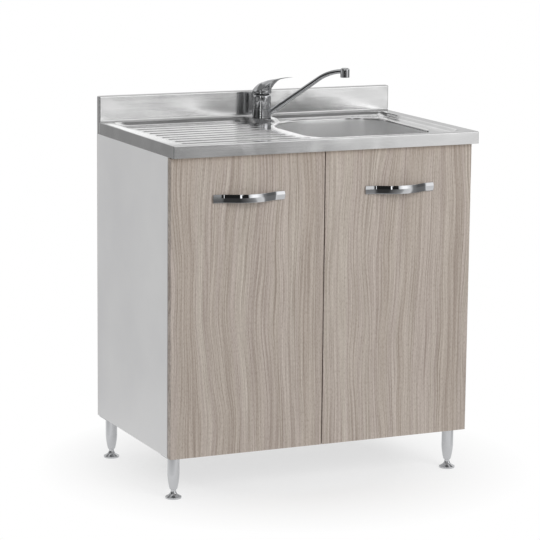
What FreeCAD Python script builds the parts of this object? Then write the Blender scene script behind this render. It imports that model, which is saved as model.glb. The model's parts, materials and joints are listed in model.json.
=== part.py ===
import FreeCAD, Part
import math
import os
from FreeCAD import Vector

# Kitchen sink unit: a two-door base cabinet on four adjustable legs, with a lay-on
# stainless steel sink top (drainer on the left, bowl on the right) and a single-lever
# mixer tap. Millimetres. +Z is up, the doors face -Y, +X is to the right as seen from
# the front. The origin is on the floor, under the middle of the whole unit.

# ---------------------------------------------------------------- driving dimensions
# sink top
SINK_WIDTH = 800.0
SINK_DEPTH = 500.0
DECK_HEIGHT = 850.0
APRON_HEIGHT = 30.0
SHEET = 0.8
UPSTAND_HEIGHT = 64.0
UPSTAND_DEPTH = 18.0
LEDGE_FRONT = 20.0
LEDGE_LEFT = 22.0
LEDGE_RIGHT = 30.0
LEDGE_REAR = 4.0
RECESS_DEPTH = 8.0
SLOPE_RUN = 12.0
SLOPE_RUN_REAR = 25.0
RECESS_CORNER = 38.0
# bowl
BOWL_WIDTH = 330.0
BOWL_LENGTH = 370.0
BOWL_DEPTH = 150.0
BOWL_CORNER = 85.0
BOWL_CORNER_TAP = 160.0
BOWL_FROM_RIGHT = 72.0
BOWL_FROM_REAR = 68.0
BOWL_FLOOR_RADIUS = 45.0
BOWL_FLANGE = 12.0
# drainer
RIB_COUNT = 10
RIB_PITCH = 40.0
RIB_FROM_FRONT = 47.0
RIB_HEIGHT = 2.4
RIB_HALF_WIDTH = 9.0
RIB_END_GAP = 16.0
RIB_BOWL_GAP = 32.0
# carcass
PANEL = 18.0
BACK_PANEL = 3.0
CARCASS_BOTTOM = 105.0
SINK_OVERHANG_RIGHT = 12.0
RAIL = 16.0
FRONT_RAIL_HEIGHT = 70.0
REAR_RAIL_HEIGHT = 100.0
SERVICE_HOLE_WIDTH = 220.0
SERVICE_HOLE_HEIGHT = 160.0
SERVICE_HOLE_BELOW_OUTLET = 86.0
DOWEL_RADIUS = 4.0
DOWEL_LENGTH = 30.0
DOWEL_IN_SIDE = 10.0
FASTENER_SPAN_SHARE = 0.25
# doors
DOOR_THICKNESS = 18.0
DOOR_SETBACK = 14.0
DOOR_TOP_GAP = 2.0
DOOR_MIDDLE_GAP = 3.0
DOOR_BACK_GAP = 3.5
# handles
HANDLE_LENGTH = 184.0
HANDLE_HEIGHT = 20.0
HANDLE_REACH = 29.0
HANDLE_STRAP = 4.5
HANDLE_STEP = 3.0
HANDLE_ARC_HALF = 36.0
HANDLE_ARC_DEPTH = 6.5
HANDLE_FOOT = 26.0
HANDLE_BELOW_DOOR_TOP = 98.0
HANDLE_SCREW_RADIUS = 2.0
HANDLE_SCREW_COVER = 1.5
HANDLE_SCREW_HEAD_RADIUS = 4.0
HANDLE_SCREW_HEAD = 2.0
# concealed hinges
HINGE_FROM_DOOR_END = 100.0
CUP_RADIUS = 17.5
CUP_EDGE = 4.0
CUP_DEPTH = 13.0
CUP_WALL = 0.8
CUP_FLANGE = 1.0
CUP_FLANGE_WIDTH = 44.0
CUP_FLANGE_HEIGHT = 62.0
CUP_SCREW_SPACING = 52.0
PIVOT_FROM_EDGE = 8.0
PIVOT_FROM_BACK = 10.0
HINGE_PIN_RADIUS = 1.0
HINGE_EYE_RADIUS = 2.0
ARM_THICKNESS = 2.0
ARM_WIDTH = 14.0
ARM_NOSE_WIDTH = 10.0
ARM_LENGTH = 46.0
ARM_DEPTH = 5.0
PLATE_THICKNESS = 2.0
PLATE_LENGTH = 44.0
PLATE_HEIGHT = 46.0
PLATE_FROM_EDGE = 6.0
# legs and feet
LEG_FROM_SIDE = 25.0
LEG_FROM_DOOR_FRONT = 42.0
LEG_FROM_REAR = 31.0
LEG_RADIUS = 14.5
LEG_END_RADIUS = 8.5
LEG_PLATE = 3.0
LEG_PLATE_SIZE = 46.0
FOOT_RADIUS = 19.5
FOOT_HEIGHT = 22.0
FOOT_RIM = 4.0
FOOT_NECK_RADIUS = 6.5
STEM_RADIUS = 4.0
STEM_HELD = 25.0
FOOT_TRAVEL = 15.0
# wood screws, door bumpers, sink battens and clips
SCREW_RADIUS = 1.75
SCREW_HEAD_RADIUS = 3.5
SCREW_HEAD = 1.8
SCREW_LENGTH = 14.0
SCREW_FROM_PLATE_END = 7.0
SCREW_FROM_LEG_PLATE_EDGE = 6.0
BUMPER_RADIUS = 5.0
BUMPER_FROM_MIDDLE = 30.0
BATTEN = 18.0
CLIP_THICKNESS = 2.0
CLIP_WIDTH = 18.0
CLIP_HALF_HEIGHT = 18.0
# waste
WASTE_HOLE_RADIUS = 42.0
WASTE_FLANGE_RADIUS = 56.0
WASTE_WALL = 1.0
WASTE_WELL_DEPTH = 38.0
WASTE_BODY_WALL = 2.5
WASTE_BODY_BELOW_WELL = 8.0
WASTE_FUNNEL = 14.0
WASTE_GASKET = 2.5
WASTE_OUTLET_RADIUS = 19.0
WASTE_OUTLET_LENGTH = 22.0
DRAIN_HOLES = 8
DRAIN_HOLE_RADIUS = 5.5
DRAIN_RING_RADIUS = 25.0
BRIDGE_WIDTH = 10.0
BRIDGE_HEIGHT = 5.0
WASTE_SCREW_RADIUS = 3.0
WASTE_SCREW_LENGTH = 12.0
WASTE_SCREW_HEAD_RADIUS = 6.0
WASTE_SCREW_HEAD = 2.5
WASTE_SCREW_SLOT = 1.2
# basket strainer
BASKET_RADIUS = 37.0
BASKET_FLOOR_RADIUS = 31.0
BASKET_RIM = 3.0
BASKET_DEPTH = 26.0
BASKET_WALL = 1.0
BASKET_SLOTS = 12
BASKET_SLOT_WIDTH = 3.0
BASKET_SLOT_START = 14.0
KNOB_RADIUS = 8.0
KNOB_NECK_RADIUS = 3.0
KNOB_FOOT_RADIUS = 5.0
# overflow
OVERFLOW_BELOW_RIM = 36.0
OVERFLOW_RADIUS = 15.0
OVERFLOW_ROSETTE = 2.0
OVERFLOW_FLANGE = 3.0
OVERFLOW_HOLES = 6
OVERFLOW_HOLE_RADIUS = 1.8
OVERFLOW_RING_RADIUS = 5.5
OVERFLOW_PIPE_RADIUS = 10.0
OVERFLOW_PIPE_WALL = 2.0
OVERFLOW_PIPE_OUT = 32.0
OVERFLOW_BEND = 18.0
OVERFLOW_SOCKET = 12.0
OVERFLOW_INLET_BELOW_FLOOR = 23.0
# trap
TRAP_WALL = 2.0
TRAP_TUBE_RADIUS = 16.0
TRAP_TUBE_LENGTH = 92.0
TRAP_TUBE_LIP = 4.0
TRAP_BELOW_WASTE = 26.0
TRAP_RADIUS = 32.0
TRAP_BODY_HEIGHT = 92.0
TRAP_ROOF = 4.0
TRAP_CUP_HEIGHT = 34.0
TRAP_CUP_GRIP = 16.0
TRAP_CUP_WALL = 3.0
TRAP_CUP_FLOOR = 2.5
TRAP_CUP_ROUND = 8.0
TRAP_OUTLET_RADIUS = 20.0
TRAP_OUTLET_BELOW_TOP = 26.0
TRAP_STUB = 26.0
TRAP_PIPE_RADIUS = 19.0
OUTLET_SPIGOT = 60.0
OUTLET_BEAD = 4.0
OUTLET_BEAD_RADIUS = 21.0
NUT_RADIUS = 26.0
NUT_HEIGHT = 20.0
NUT_OVERLAP = 6.0
NUT_FLUTES = 12
NUT_FLUTE_RADIUS = 2.5
# mixer tap: body
TAP_FROM_BOWL_LEFT = 18.0
TAP_FROM_REAR = 69.0
TAP_RADIUS = 24.0
TAP_SEAL = 1.0
TAP_SHANK_RADIUS = 16.0
TAP_SHANK_LENGTH = 34.0
TAP_HOLE_RADIUS = 17.5
TAP_BASE_HEIGHT = 4.5
TAP_NECK_RADIUS = 19.0
COLLAR_HEIGHT = 18.0
BODY_RADIUS = 23.0
BODY_TOP = 61.0
BODY_SHOULDER = 7.0
TONGUE_TOP_RADIUS = 35.0
TONGUE_FOOT_RADIUS = 46.0
CLAMP_WASHER = 3.0
SHANK_NUT_RADIUS = 24.0
SHANK_NUT_HEIGHT = 8.0
TAIL_RADIUS = 5.0
TAIL_BORE = 3.5
TAIL_OFFSET = 7.0
TAIL_IN_BODY = 14.0
TAIL_BELOW_SHANK = 46.0
TAIL_COLLAR = 8.0
TAIL_COLLAR_RADIUS = 6.5
# mixer tap: cartridge
CARTRIDGE_RADIUS = 15.0
CARTRIDGE_HEIGHT = 26.0
CARTRIDGE_BELOW_TOP = 2.0
ROTOR_RADIUS = 11.0
ROTOR_HEIGHT = 7.0
ROTOR_SLOT_WALL = 2.0
SPINDLE_HALF = 4.0
SPINDLE_PIVOT_HEIGHT = 2.9
SPINDLE_EYE_RADIUS = 2.3
SPINDLE_PIN_RADIUS = 1.2
SPINDLE_PIN_HELD = 3.0
# mixer tap: lever
HUB_RADIUS = 24.2
HUB_WALL = 1.8
HUB_GAP = 1.5
HUB_STRAIGHT = 12.0
HUB_CAVITY = 14.0
HUB_TOP = 33.0
HUB_CROWN_RADIUS = 5.0
LEVER_ROOT = 5.0
LEVER_REACH = 97.0
LEVER_ANGLE = 28.0
LEVER_TIP_HEIGHT = 110.5
LEVER_ROOT_HALF_WIDTH = 15.0
LEVER_ROOT_HALF_HEIGHT = 8.0
LEVER_TIP_HALF_WIDTH = 7.0
LEVER_TIP_HALF_HEIGHT = 1.8
INDEX_RADIUS = 2.5
# mixer tap: spout
SPOUT_ANGLE = 48.0
SPOUT_REACH = 216.0
SPOUT_STRAIGHT_REACH = 150.0
SPOUT_STRAIGHT_RISE = 106.0
SPOUT_HEAD_HEIGHT = 126.0
SPOUT_START_HEIGHT = 12.0
SPOUT_ROOT_HALF = 7.5
SPOUT_TIP_HALF = 5.5
SPOUT_WIDEN = 1.3
SPOUT_BORE_SHARE = 0.55
OUTLET_RADIUS = 11.5
OUTLET_ROUND = 5.0
OUTLET_TOP = 134.0
OUTLET_BOTTOM = 110.5
AERATOR_RADIUS = 9.5
AERATOR_HEIGHT = 7.0
AERATOR_INSET = 0.5
AERATOR_HOLES = 6
AERATOR_HOLE_RADIUS = 1.6
# clearances
FIT = 0.05
SLIP = 0.1
LOOSE = 0.3

# ---------------------------------------------------------------- derived positions
handle_proud = HANDLE_REACH - DOOR_SETBACK
x_left = -SINK_WIDTH / 2
x_right = SINK_WIDTH / 2
y_front = -(SINK_DEPTH + handle_proud) / 2 + handle_proud
y_rear = y_front + SINK_DEPTH
carcass_left = x_left
carcass_right = x_right - SINK_OVERHANG_RIGHT
carcass_middle = (carcass_left + carcass_right) / 2
carcass_top = DECK_HEIGHT - APRON_HEIGHT
door_front = y_front + DOOR_SETBACK
door_back = door_front + DOOR_THICKNESS
pivot_y = door_back - PIVOT_FROM_BACK
carcass_front = door_back + DOOR_BACK_GAP
carcass_rear = y_rear - BACK_PANEL
inner_left = carcass_left + PANEL
inner_right = carcass_right - PANEL
floor_top = CARCASS_BOTTOM + PANEL
door_width = (carcass_right - carcass_left - DOOR_MIDDLE_GAP) / 2
door_bottom = CARCASS_BOTTOM
door_top = carcass_top - DOOR_TOP_GAP
deck_floor = DECK_HEIGHT - RECESS_DEPTH
upstand_front = y_rear - UPSTAND_DEPTH
bowl_x1 = x_right - BOWL_FROM_RIGHT
bowl_x0 = bowl_x1 - BOWL_WIDTH
bowl_y1 = y_rear - BOWL_FROM_REAR
bowl_y0 = bowl_y1 - BOWL_LENGTH
bowl_x = (bowl_x0 + bowl_x1) / 2
bowl_y = (bowl_y0 + bowl_y1) / 2
bowl_floor = deck_floor - BOWL_DEPTH
bowl_under = bowl_floor - SHEET
well_bottom = bowl_floor - WASTE_WELL_DEPTH
waste_outlet_top = well_bottom - WASTE_FUNNEL
waste_end = waste_outlet_top - WASTE_OUTLET_LENGTH
overflow_z = deck_floor - OVERFLOW_BELOW_RIM
overflow_inlet_z = bowl_floor - OVERFLOW_INLET_BELOW_FLOOR
trap_roof = waste_end - TRAP_BELOW_WASTE
trap_outlet_z = trap_roof - TRAP_OUTLET_BELOW_TOP
tap_x = bowl_x0 + TAP_FROM_BOWL_LEFT
tap_y = y_rear - TAP_FROM_REAR
tap_base = DECK_HEIGHT + TAP_SEAL
body_top = DECK_HEIGHT + BODY_TOP
stem_length = STEM_HELD + FOOT_TRAVEL
UP = Vector(0, 0, 1)
BACK = Vector(0, 1, 0)
RIGHT = Vector(1, 0, 0)

nodes = {}


# ---------------------------------------------------------------- shared shape helpers
def box(x0, x1, y0, y1, z0, z1):
    return Part.makeBox(x1 - x0, y1 - y0, z1 - z0, Vector(x0, y0, z0))


def rod(x, y, z, radius, length, direction=UP):
    return Part.makeCylinder(radius, length, Vector(x, y, z), direction)


def ring(x, y, z, outer, inner, length, direction=UP):
    return rod(x, y, z, outer, length, direction).cut(rod(x, y, z, inner, length, direction))


def joined(shapes):
    whole = shapes[0]
    for shape in shapes[1:]:
        whole = whole.fuse(shape)
    return whole.removeSplitter()


def moved(shape, x, y, z):
    copy = shape.copy()
    copy.translate(Vector(x, y, z))
    return copy


def turned(outline, x, y, z):
    """A solid of revolution about a vertical axis. The outline lists (radius, height)
    corners; a pair of corners, (middle, end), is an arc through the middle one."""
    edges = []
    here = Vector(outline[0][0], 0, outline[0][1])
    first = here
    for step in outline[1:]:
        if isinstance(step[0], tuple):
            middle = Vector(step[0][0], 0, step[0][1])
            there = Vector(step[1][0], 0, step[1][1])
            edges.append(Part.Arc(here, middle, there).toShape())
        else:
            there = Vector(step[0], 0, step[1])
            edges.append(Part.LineSegment(here, there).toShape())
        here = there
    edges.append(Part.LineSegment(here, first).toShape())
    face = Part.Face(Part.Wire(edges))
    return moved(face.revolve(Vector(0, 0, 0), UP, 360), x, y, z)


def rounded_wire(x0, x1, y0, y1, z, radii):
    """A rectangle with its own radius at each corner, in the order front left, front
    right, rear right, rear left."""
    front_left, front_right, rear_right, rear_left = radii
    corners = [
        (x0 + front_left, y0 + front_left, front_left, 180),
        (x1 - front_right, y0 + front_right, front_right, 270),
        (x1 - rear_right, y1 - rear_right, rear_right, 0),
        (x0 + rear_left, y1 - rear_left, rear_left, 90),
    ]
    arcs = []
    for cx, cy, radius, start in corners:
        points = []
        for angle in (start, start + 45, start + 90):
            turn = math.radians(angle)
            points.append(Vector(cx + radius * math.cos(turn), cy + radius * math.sin(turn), z))
        arcs.append(Part.Arc(*points).toShape())
    edges = []
    for index, arc in enumerate(arcs):
        end = arc.lastVertex().Point
        start = arcs[(index + 1) % 4].firstVertex().Point
        edges.append(arc)
        edges.append(Part.LineSegment(end, start).toShape())
    return Part.Wire(edges)


def prism(wire, height):
    return Part.Face(wire).extrude(Vector(0, 0, height))


def edges_at(shape, z):
    """The edges that lie in one level plane."""
    found = []
    for edge in shape.Edges:
        if abs(edge.BoundBox.ZMin - z) < 1e-4 and abs(edge.BoundBox.ZMax - z) < 1e-4:
            found.append(edge)
    return found


def mirrored(shape):
    """The same piece for the other side of the carcass."""
    return shape.mirror(Vector(carcass_middle, 0, 0), RIGHT)


def both_sides(shapes):
    return shapes + [mirrored(shape) for shape in shapes]


def group(shapes):
    return Part.makeCompound(shapes)


def wood_screw(point, direction):
    """A pan-head screw: its head stands on the point, its shank runs along direction."""
    head = Part.makeCylinder(SCREW_HEAD_RADIUS, SCREW_HEAD, point, direction * -1)
    shank = Part.makeCylinder(SCREW_RADIUS, SCREW_LENGTH, point, direction)
    return head.fuse(shank).removeSplitter()


def screw_hole(point, direction):
    return Part.makeCylinder(SCREW_RADIUS + FIT, SCREW_LENGTH + LOOSE, point, direction)


# ---------------------------------------------------------------- carcass
def dowel_places():
    """Where a panel's end meets a side panel: (y, z) pairs on the left side panel."""
    places = []
    depth = carcass_rear - carcass_front
    for share in (FASTENER_SPAN_SHARE, 1 - FASTENER_SPAN_SHARE):
        places.append((carcass_front + depth * share, CARCASS_BOTTOM + PANEL / 2))
        places.append((carcass_front + RAIL / 2, carcass_top - FRONT_RAIL_HEIGHT * share))
        places.append((carcass_rear - RAIL / 2, carcass_top - REAR_RAIL_HEIGHT * share))
    return places


def dowels(radius):
    start = inner_left - DOWEL_IN_SIDE
    left = [rod(start, y, z, radius, DOWEL_LENGTH, RIGHT) for y, z in dowel_places()]
    return both_sides(left)


def build_carcass():
    holes = group(dowels(DOWEL_RADIUS + SLIP))
    side = box(carcass_left, inner_left, carcass_front, carcass_rear, CARCASS_BOTTOM, carcass_top)
    floor = box(inner_left, inner_right, carcass_front, carcass_rear, CARCASS_BOTTOM, floor_top)
    front = box(inner_left, inner_right, carcass_front, carcass_front + RAIL,
                carcass_top - FRONT_RAIL_HEIGHT, carcass_top)
    rear = box(inner_left, inner_right, carcass_rear - RAIL, carcass_rear,
               carcass_top - REAR_RAIL_HEIGHT, carcass_top)
    back = box(carcass_left, carcass_right, carcass_rear, y_rear, CARCASS_BOTTOM, carcass_top)
    hole_x0 = bowl_x - SERVICE_HOLE_WIDTH / 2
    hole_x1 = bowl_x + SERVICE_HOLE_WIDTH / 2
    hole_z0 = trap_outlet_z - SERVICE_HOLE_BELOW_OUTLET
    service_hole = box(hole_x0, hole_x1, carcass_rear - 1, y_rear + 1, hole_z0, hole_z0 + SERVICE_HOLE_HEIGHT)
    nodes["side_panel_left"] = side.cut(holes)
    nodes["side_panel_right"] = mirrored(side).cut(holes)
    nodes["bottom_panel"] = floor.cut(holes)
    nodes["front_rail"] = front.cut(holes)
    nodes["rear_rail"] = rear.cut(holes)
    nodes["back_panel"] = back.cut(service_hole)
    nodes["panel_dowels"] = group(dowels(DOWEL_RADIUS))
    bumpers = []
    for x in (carcass_middle - BUMPER_FROM_MIDDLE, carcass_middle + BUMPER_FROM_MIDDLE):
        for z in (carcass_top - FRONT_RAIL_HEIGHT / 2, CARCASS_BOTTOM + PANEL / 2):
            bumpers.append(rod(x, door_back + SLIP, z, BUMPER_RADIUS, DOOR_BACK_GAP - SLIP, BACK))
    nodes["door_bumpers"] = group(bumpers)


# ---------------------------------------------------------------- sink top and bowl
def bowl_radii(grow):
    return (BOWL_CORNER + grow, BOWL_CORNER + grow, BOWL_CORNER + grow, BOWL_CORNER_TAP + grow)


def bowl_outline(grow, z):
    return rounded_wire(bowl_x0 - grow, bowl_x1 + grow, bowl_y0 - grow, bowl_y1 + grow, z,
                        bowl_radii(grow))


def bowl_left_edge(y):
    """X of the bowl's left rim at a given Y, straight between its two corner arcs."""
    rear_start = bowl_y1 - BOWL_CORNER_TAP
    front_start = bowl_y0 + BOWL_CORNER
    if y > rear_start:
        radius, away = BOWL_CORNER_TAP, y - rear_start
    elif y < front_start:
        radius, away = BOWL_CORNER, front_start - y
    else:
        return bowl_x0
    return bowl_x0 + radius - math.sqrt(max(radius ** 2 - away ** 2, 0))


def rib_end(y):
    """X where a drainer rib stops, short of the bowl and of the tap's raised tongue."""
    end = bowl_left_edge(y) - RIB_BOWL_GAP
    if abs(y - tap_y) < TONGUE_FOOT_RADIUS + RIB_HALF_WIDTH or y > tap_y:
        end = min(end, tap_x - TONGUE_FOOT_RADIUS - RIB_END_GAP)
    return end


def drainer_ribs():
    radius = (RIB_HALF_WIDTH ** 2 + RIB_HEIGHT ** 2) / (2 * RIB_HEIGHT)
    axis_z = deck_floor + RIB_HEIGHT - radius
    start = x_left + LEDGE_LEFT + SLOPE_RUN + RIB_END_GAP + RIB_HALF_WIDTH
    above = box(x_left, x_right, y_front, y_rear, deck_floor, deck_floor + RECESS_DEPTH)
    ribs = []
    for index in range(RIB_COUNT):
        y = y_front + RIB_FROM_FRONT + index * RIB_PITCH
        end = rib_end(y) - RIB_HALF_WIDTH
        bar = rod(start, y, axis_z, radius, end - start, RIGHT)
        for x in (start, end):
            bar = bar.fuse(Part.makeSphere(radius, Vector(x, y, axis_z)))
        ribs.append(bar.common(above))
    return ribs


def tongue_wire(radius, z):
    """Half round in front of the tap, running straight back to the upstand."""
    left = Vector(tap_x - radius, tap_y, z)
    right = Vector(tap_x + radius, tap_y, z)
    rear_left = Vector(tap_x - radius, upstand_front, z)
    rear_right = Vector(tap_x + radius, upstand_front, z)
    arc = Part.Arc(left, Vector(tap_x, tap_y - radius, z), right).toShape()
    sides = [(right, rear_right), (rear_right, rear_left), (rear_left, left)]
    return Part.Wire([arc] + [Part.LineSegment(a, b).toShape() for a, b in sides])


def recess_wire(inset, rear_inset, z):
    radii = [RECESS_CORNER] * 4
    return rounded_wire(x_left + LEDGE_LEFT + inset, x_right - LEDGE_RIGHT - inset,
                        y_front + LEDGE_FRONT + inset, upstand_front - LEDGE_REAR - rear_inset,
                        z, radii)


def deck_relief():
    """The space pressed down into the deck: a dished recess, less the ribs and tongue."""
    recess = Part.makeLoft([recess_wire(SLOPE_RUN, SLOPE_RUN_REAR, deck_floor),
                            recess_wire(0, 0, DECK_HEIGHT)], True, True)
    tongue = Part.makeLoft([tongue_wire(TONGUE_FOOT_RADIUS, deck_floor),
                            tongue_wire(TONGUE_TOP_RADIUS, DECK_HEIGHT)], True, True)
    relief = recess.cut(tongue)
    for rib in drainer_ribs():
        relief = relief.cut(rib)
    return relief


def sink_block(wall, top):
    """The outside of the folded sheet, or with a wall, the hollow under it."""
    base = box(x_left + wall, x_right - wall, y_front + wall, y_rear - wall,
               carcass_top - top, DECK_HEIGHT - wall)
    upstand = box(x_left + wall, x_right - wall, upstand_front + wall, y_rear - wall,
                  carcass_top - top, DECK_HEIGHT + UPSTAND_HEIGHT - wall)
    return base.fuse(upstand).removeSplitter()


def build_sink():
    relief = deck_relief()
    outside = sink_block(0, 0).cut(relief)
    hollow = sink_block(SHEET, 1).cut(moved(relief, 0, 0, -SHEET))
    deck = outside.cut(hollow)
    deck = deck.cut(moved(prism(bowl_outline(0, 0), 20), 0, 0, deck_floor - 10))
    deck = deck.cut(rod(tap_x, tap_y, DECK_HEIGHT - 10, TAP_HOLE_RADIUS, 20))
    nodes["sink_deck"] = deck

    top = deck_floor - SHEET
    outer = moved(prism(bowl_outline(SHEET, 0), top - bowl_under), 0, 0, bowl_under)
    inner = moved(prism(bowl_outline(0, 0), top - bowl_floor), 0, 0, bowl_floor)
    outer = outer.makeFillet(BOWL_FLOOR_RADIUS + SHEET, edges_at(outer, bowl_under))
    inner = inner.makeFillet(BOWL_FLOOR_RADIUS, edges_at(inner, bowl_floor))
    flange = moved(prism(bowl_outline(BOWL_FLANGE, 0), SHEET), 0, 0, top - SHEET)
    bowl = outer.fuse(flange).cut(inner).removeSplitter()
    bowl = bowl.cut(rod(bowl_x, bowl_y, bowl_under - 5, WASTE_HOLE_RADIUS, 10))
    overflow_hole = rod(bowl_x0 - 5, bowl_y, overflow_z, OVERFLOW_PIPE_RADIUS, 10, RIGHT)
    nodes["sink_bowl"] = bowl.cut(overflow_hole)

    batten_top = DECK_HEIGHT - SHEET
    left_batten = box(x_left + SHEET, inner_left, y_front + SHEET, y_rear - SHEET,
                      carcass_top, batten_top)
    right_batten = box(inner_right, carcass_right, y_front + SHEET, y_rear - SHEET,
                       carcass_top, batten_top)
    front_batten = box(inner_left, inner_right, y_front + SHEET, y_front + SHEET + BATTEN,
                       carcass_top, batten_top)
    rear_batten = box(inner_left, inner_right, upstand_front + SHEET, y_rear - SHEET,
                      carcass_top, batten_top)
    battens = [left_batten, right_batten, front_batten, rear_batten]
    clips = []
    for y, wall_x, way in clip_places():
        x = wall_x if way > 0 else wall_x - CLIP_THICKNESS
        clips.append(box(x, x + CLIP_THICKNESS, y - CLIP_WIDTH / 2, y + CLIP_WIDTH / 2,
                         carcass_top - CLIP_HALF_HEIGHT, carcass_top + CLIP_HALF_HEIGHT))
    holes = group([screw_hole(*place) for place in clip_screw_places()])
    nodes["sink_battens"] = group([batten.common(hollow).cut(holes) for batten in battens])
    nodes["sink_clips"] = group([clip.cut(holes) for clip in clips])


def clip_places():
    """The flat clips that hold the battens to the side panels: (y, wall x, way inward)."""
    depth = carcass_rear - carcass_front
    places = []
    for share in (FASTENER_SPAN_SHARE, 1 - FASTENER_SPAN_SHARE):
        y = carcass_front + depth * share
        places.append((y, inner_left, 1))
        places.append((y, inner_right, -1))
    return places


def clip_screw_places():
    places = []
    for y, wall_x, way in clip_places():
        for z in (carcass_top - CLIP_HALF_HEIGHT / 2, carcass_top + CLIP_HALF_HEIGHT / 2):
            point = Vector(wall_x + way * CLIP_THICKNESS, y, z)
            places.append((point, Vector(-way, 0, 0)))
    return places


# ---------------------------------------------------------------- waste and overflow
def around(count, radius):
    """Evenly spaced places on a circle, as pairs of offsets from its middle."""
    places = []
    for index in range(count):
        turn = math.radians(360 / count * index)
        places.append((radius * math.cos(turn), radius * math.sin(turn)))
    return places


def build_waste():
    """The waste under the bowl: a pressed well and flange, a gasket, the plastic body
    that the central screw pulls up against the bowl, and a lift-out basket strainer."""
    well = WASTE_HOLE_RADIUS - LOOSE - WASTE_WALL
    well_outside = well + WASTE_WALL
    flange = turned([(0, well_bottom - WASTE_WALL), (well_outside, well_bottom - WASTE_WALL),
                     (well_outside, bowl_floor), (WASTE_FLANGE_RADIUS, bowl_floor),
                     (WASTE_FLANGE_RADIUS, bowl_floor + WASTE_WALL), (well, bowl_floor + WASTE_WALL),
                     (well, well_bottom), (0, well_bottom)], bowl_x, bowl_y, 0)
    for dx, dy in around(DRAIN_HOLES, DRAIN_RING_RADIUS):
        flange = flange.cut(rod(bowl_x + dx, bowl_y + dy, well_bottom - 5, DRAIN_HOLE_RADIUS, 10))
    flange = flange.cut(rod(bowl_x, bowl_y, well_bottom - 5, WASTE_SCREW_RADIUS + FIT, 10))
    nodes["waste_flange"] = flange

    seat = bowl_under - WASTE_GASKET
    seat_radius = WASTE_FLANGE_RADIUS - 1
    nodes["waste_gasket"] = ring(bowl_x, bowl_y, seat, seat_radius, WASTE_HOLE_RADIUS, WASTE_GASKET)
    nodes["waste_body"] = waste_body(seat, seat_radius)

    screw = rod(bowl_x, bowl_y, well_bottom, WASTE_SCREW_HEAD_RADIUS, WASTE_SCREW_HEAD)
    shank = rod(bowl_x, bowl_y, well_bottom - WASTE_SCREW_LENGTH, WASTE_SCREW_RADIUS, WASTE_SCREW_LENGTH)
    slot = box(bowl_x - WASTE_SCREW_HEAD_RADIUS, bowl_x + WASTE_SCREW_HEAD_RADIUS,
               bowl_y - WASTE_SCREW_SLOT / 2, bowl_y + WASTE_SCREW_SLOT / 2,
               well_bottom + WASTE_SCREW_HEAD / 2, well_bottom + WASTE_SCREW_HEAD + 1)
    nodes["waste_screw"] = screw.fuse(shank).removeSplitter().cut(slot)
    nodes["basket_strainer"] = basket_strainer(well)

    rosette = rod(bowl_x0, bowl_y, overflow_z, OVERFLOW_RADIUS, OVERFLOW_ROSETTE, RIGHT)
    for dy, dz in around(OVERFLOW_HOLES, OVERFLOW_RING_RADIUS):
        rosette = rosette.cut(rod(bowl_x0 - 1, bowl_y + dy, overflow_z + dz, OVERFLOW_HOLE_RADIUS, 5, RIGHT))
    nodes["overflow_rosette"] = rosette
    nodes["overflow_pipe"] = overflow_pipe()


def waste_body(seat, seat_radius):
    """A funnel-shaped cup round the well, bridged at its floor for the screw, with a side
    socket for the overflow pipe and a straight outlet below."""
    wall = WASTE_BODY_WALL
    cup = WASTE_HOLE_RADIUS + LOOSE
    shoulder = well_bottom - WASTE_BODY_BELOW_WELL
    body = turned([(WASTE_OUTLET_RADIUS - wall, waste_end), (WASTE_OUTLET_RADIUS, waste_end),
                   (WASTE_OUTLET_RADIUS, waste_outlet_top - wall), (cup + wall, shoulder),
                   (cup + wall, seat - wall), (seat_radius, seat - wall), (seat_radius, seat),
                   (cup, seat), (cup, shoulder + wall),
                   (WASTE_OUTLET_RADIUS - wall, waste_outlet_top)], bowl_x, bowl_y, 0)
    bridge_top = well_bottom - WASTE_WALL
    bridge = box(bowl_x - cup - 1, bowl_x + cup + 1, bowl_y - BRIDGE_WIDTH / 2, bowl_y + BRIDGE_WIDTH / 2,
                 bridge_top - BRIDGE_HEIGHT, bridge_top)
    bridge = bridge.common(rod(bowl_x, bowl_y, waste_end, cup + 1, seat - waste_end))
    socket_bore = OVERFLOW_PIPE_RADIUS + SLIP
    socket = rod(bowl_x - cup - OVERFLOW_SOCKET, bowl_y, overflow_inlet_z, socket_bore + wall,
                 OVERFLOW_SOCKET + 1, RIGHT)
    body = body.fuse(bridge).fuse(socket)
    body = body.cut(rod(bowl_x - cup - OVERFLOW_SOCKET - 1, bowl_y, overflow_inlet_z, socket_bore,
                        OVERFLOW_SOCKET + 3, RIGHT))
    body = body.cut(rod(bowl_x, bowl_y, waste_end, WASTE_SCREW_RADIUS + FIT, seat - waste_end))
    return body.cut(rod(bowl_x, bowl_y, bridge_top, cup, seat - bridge_top))


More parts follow.
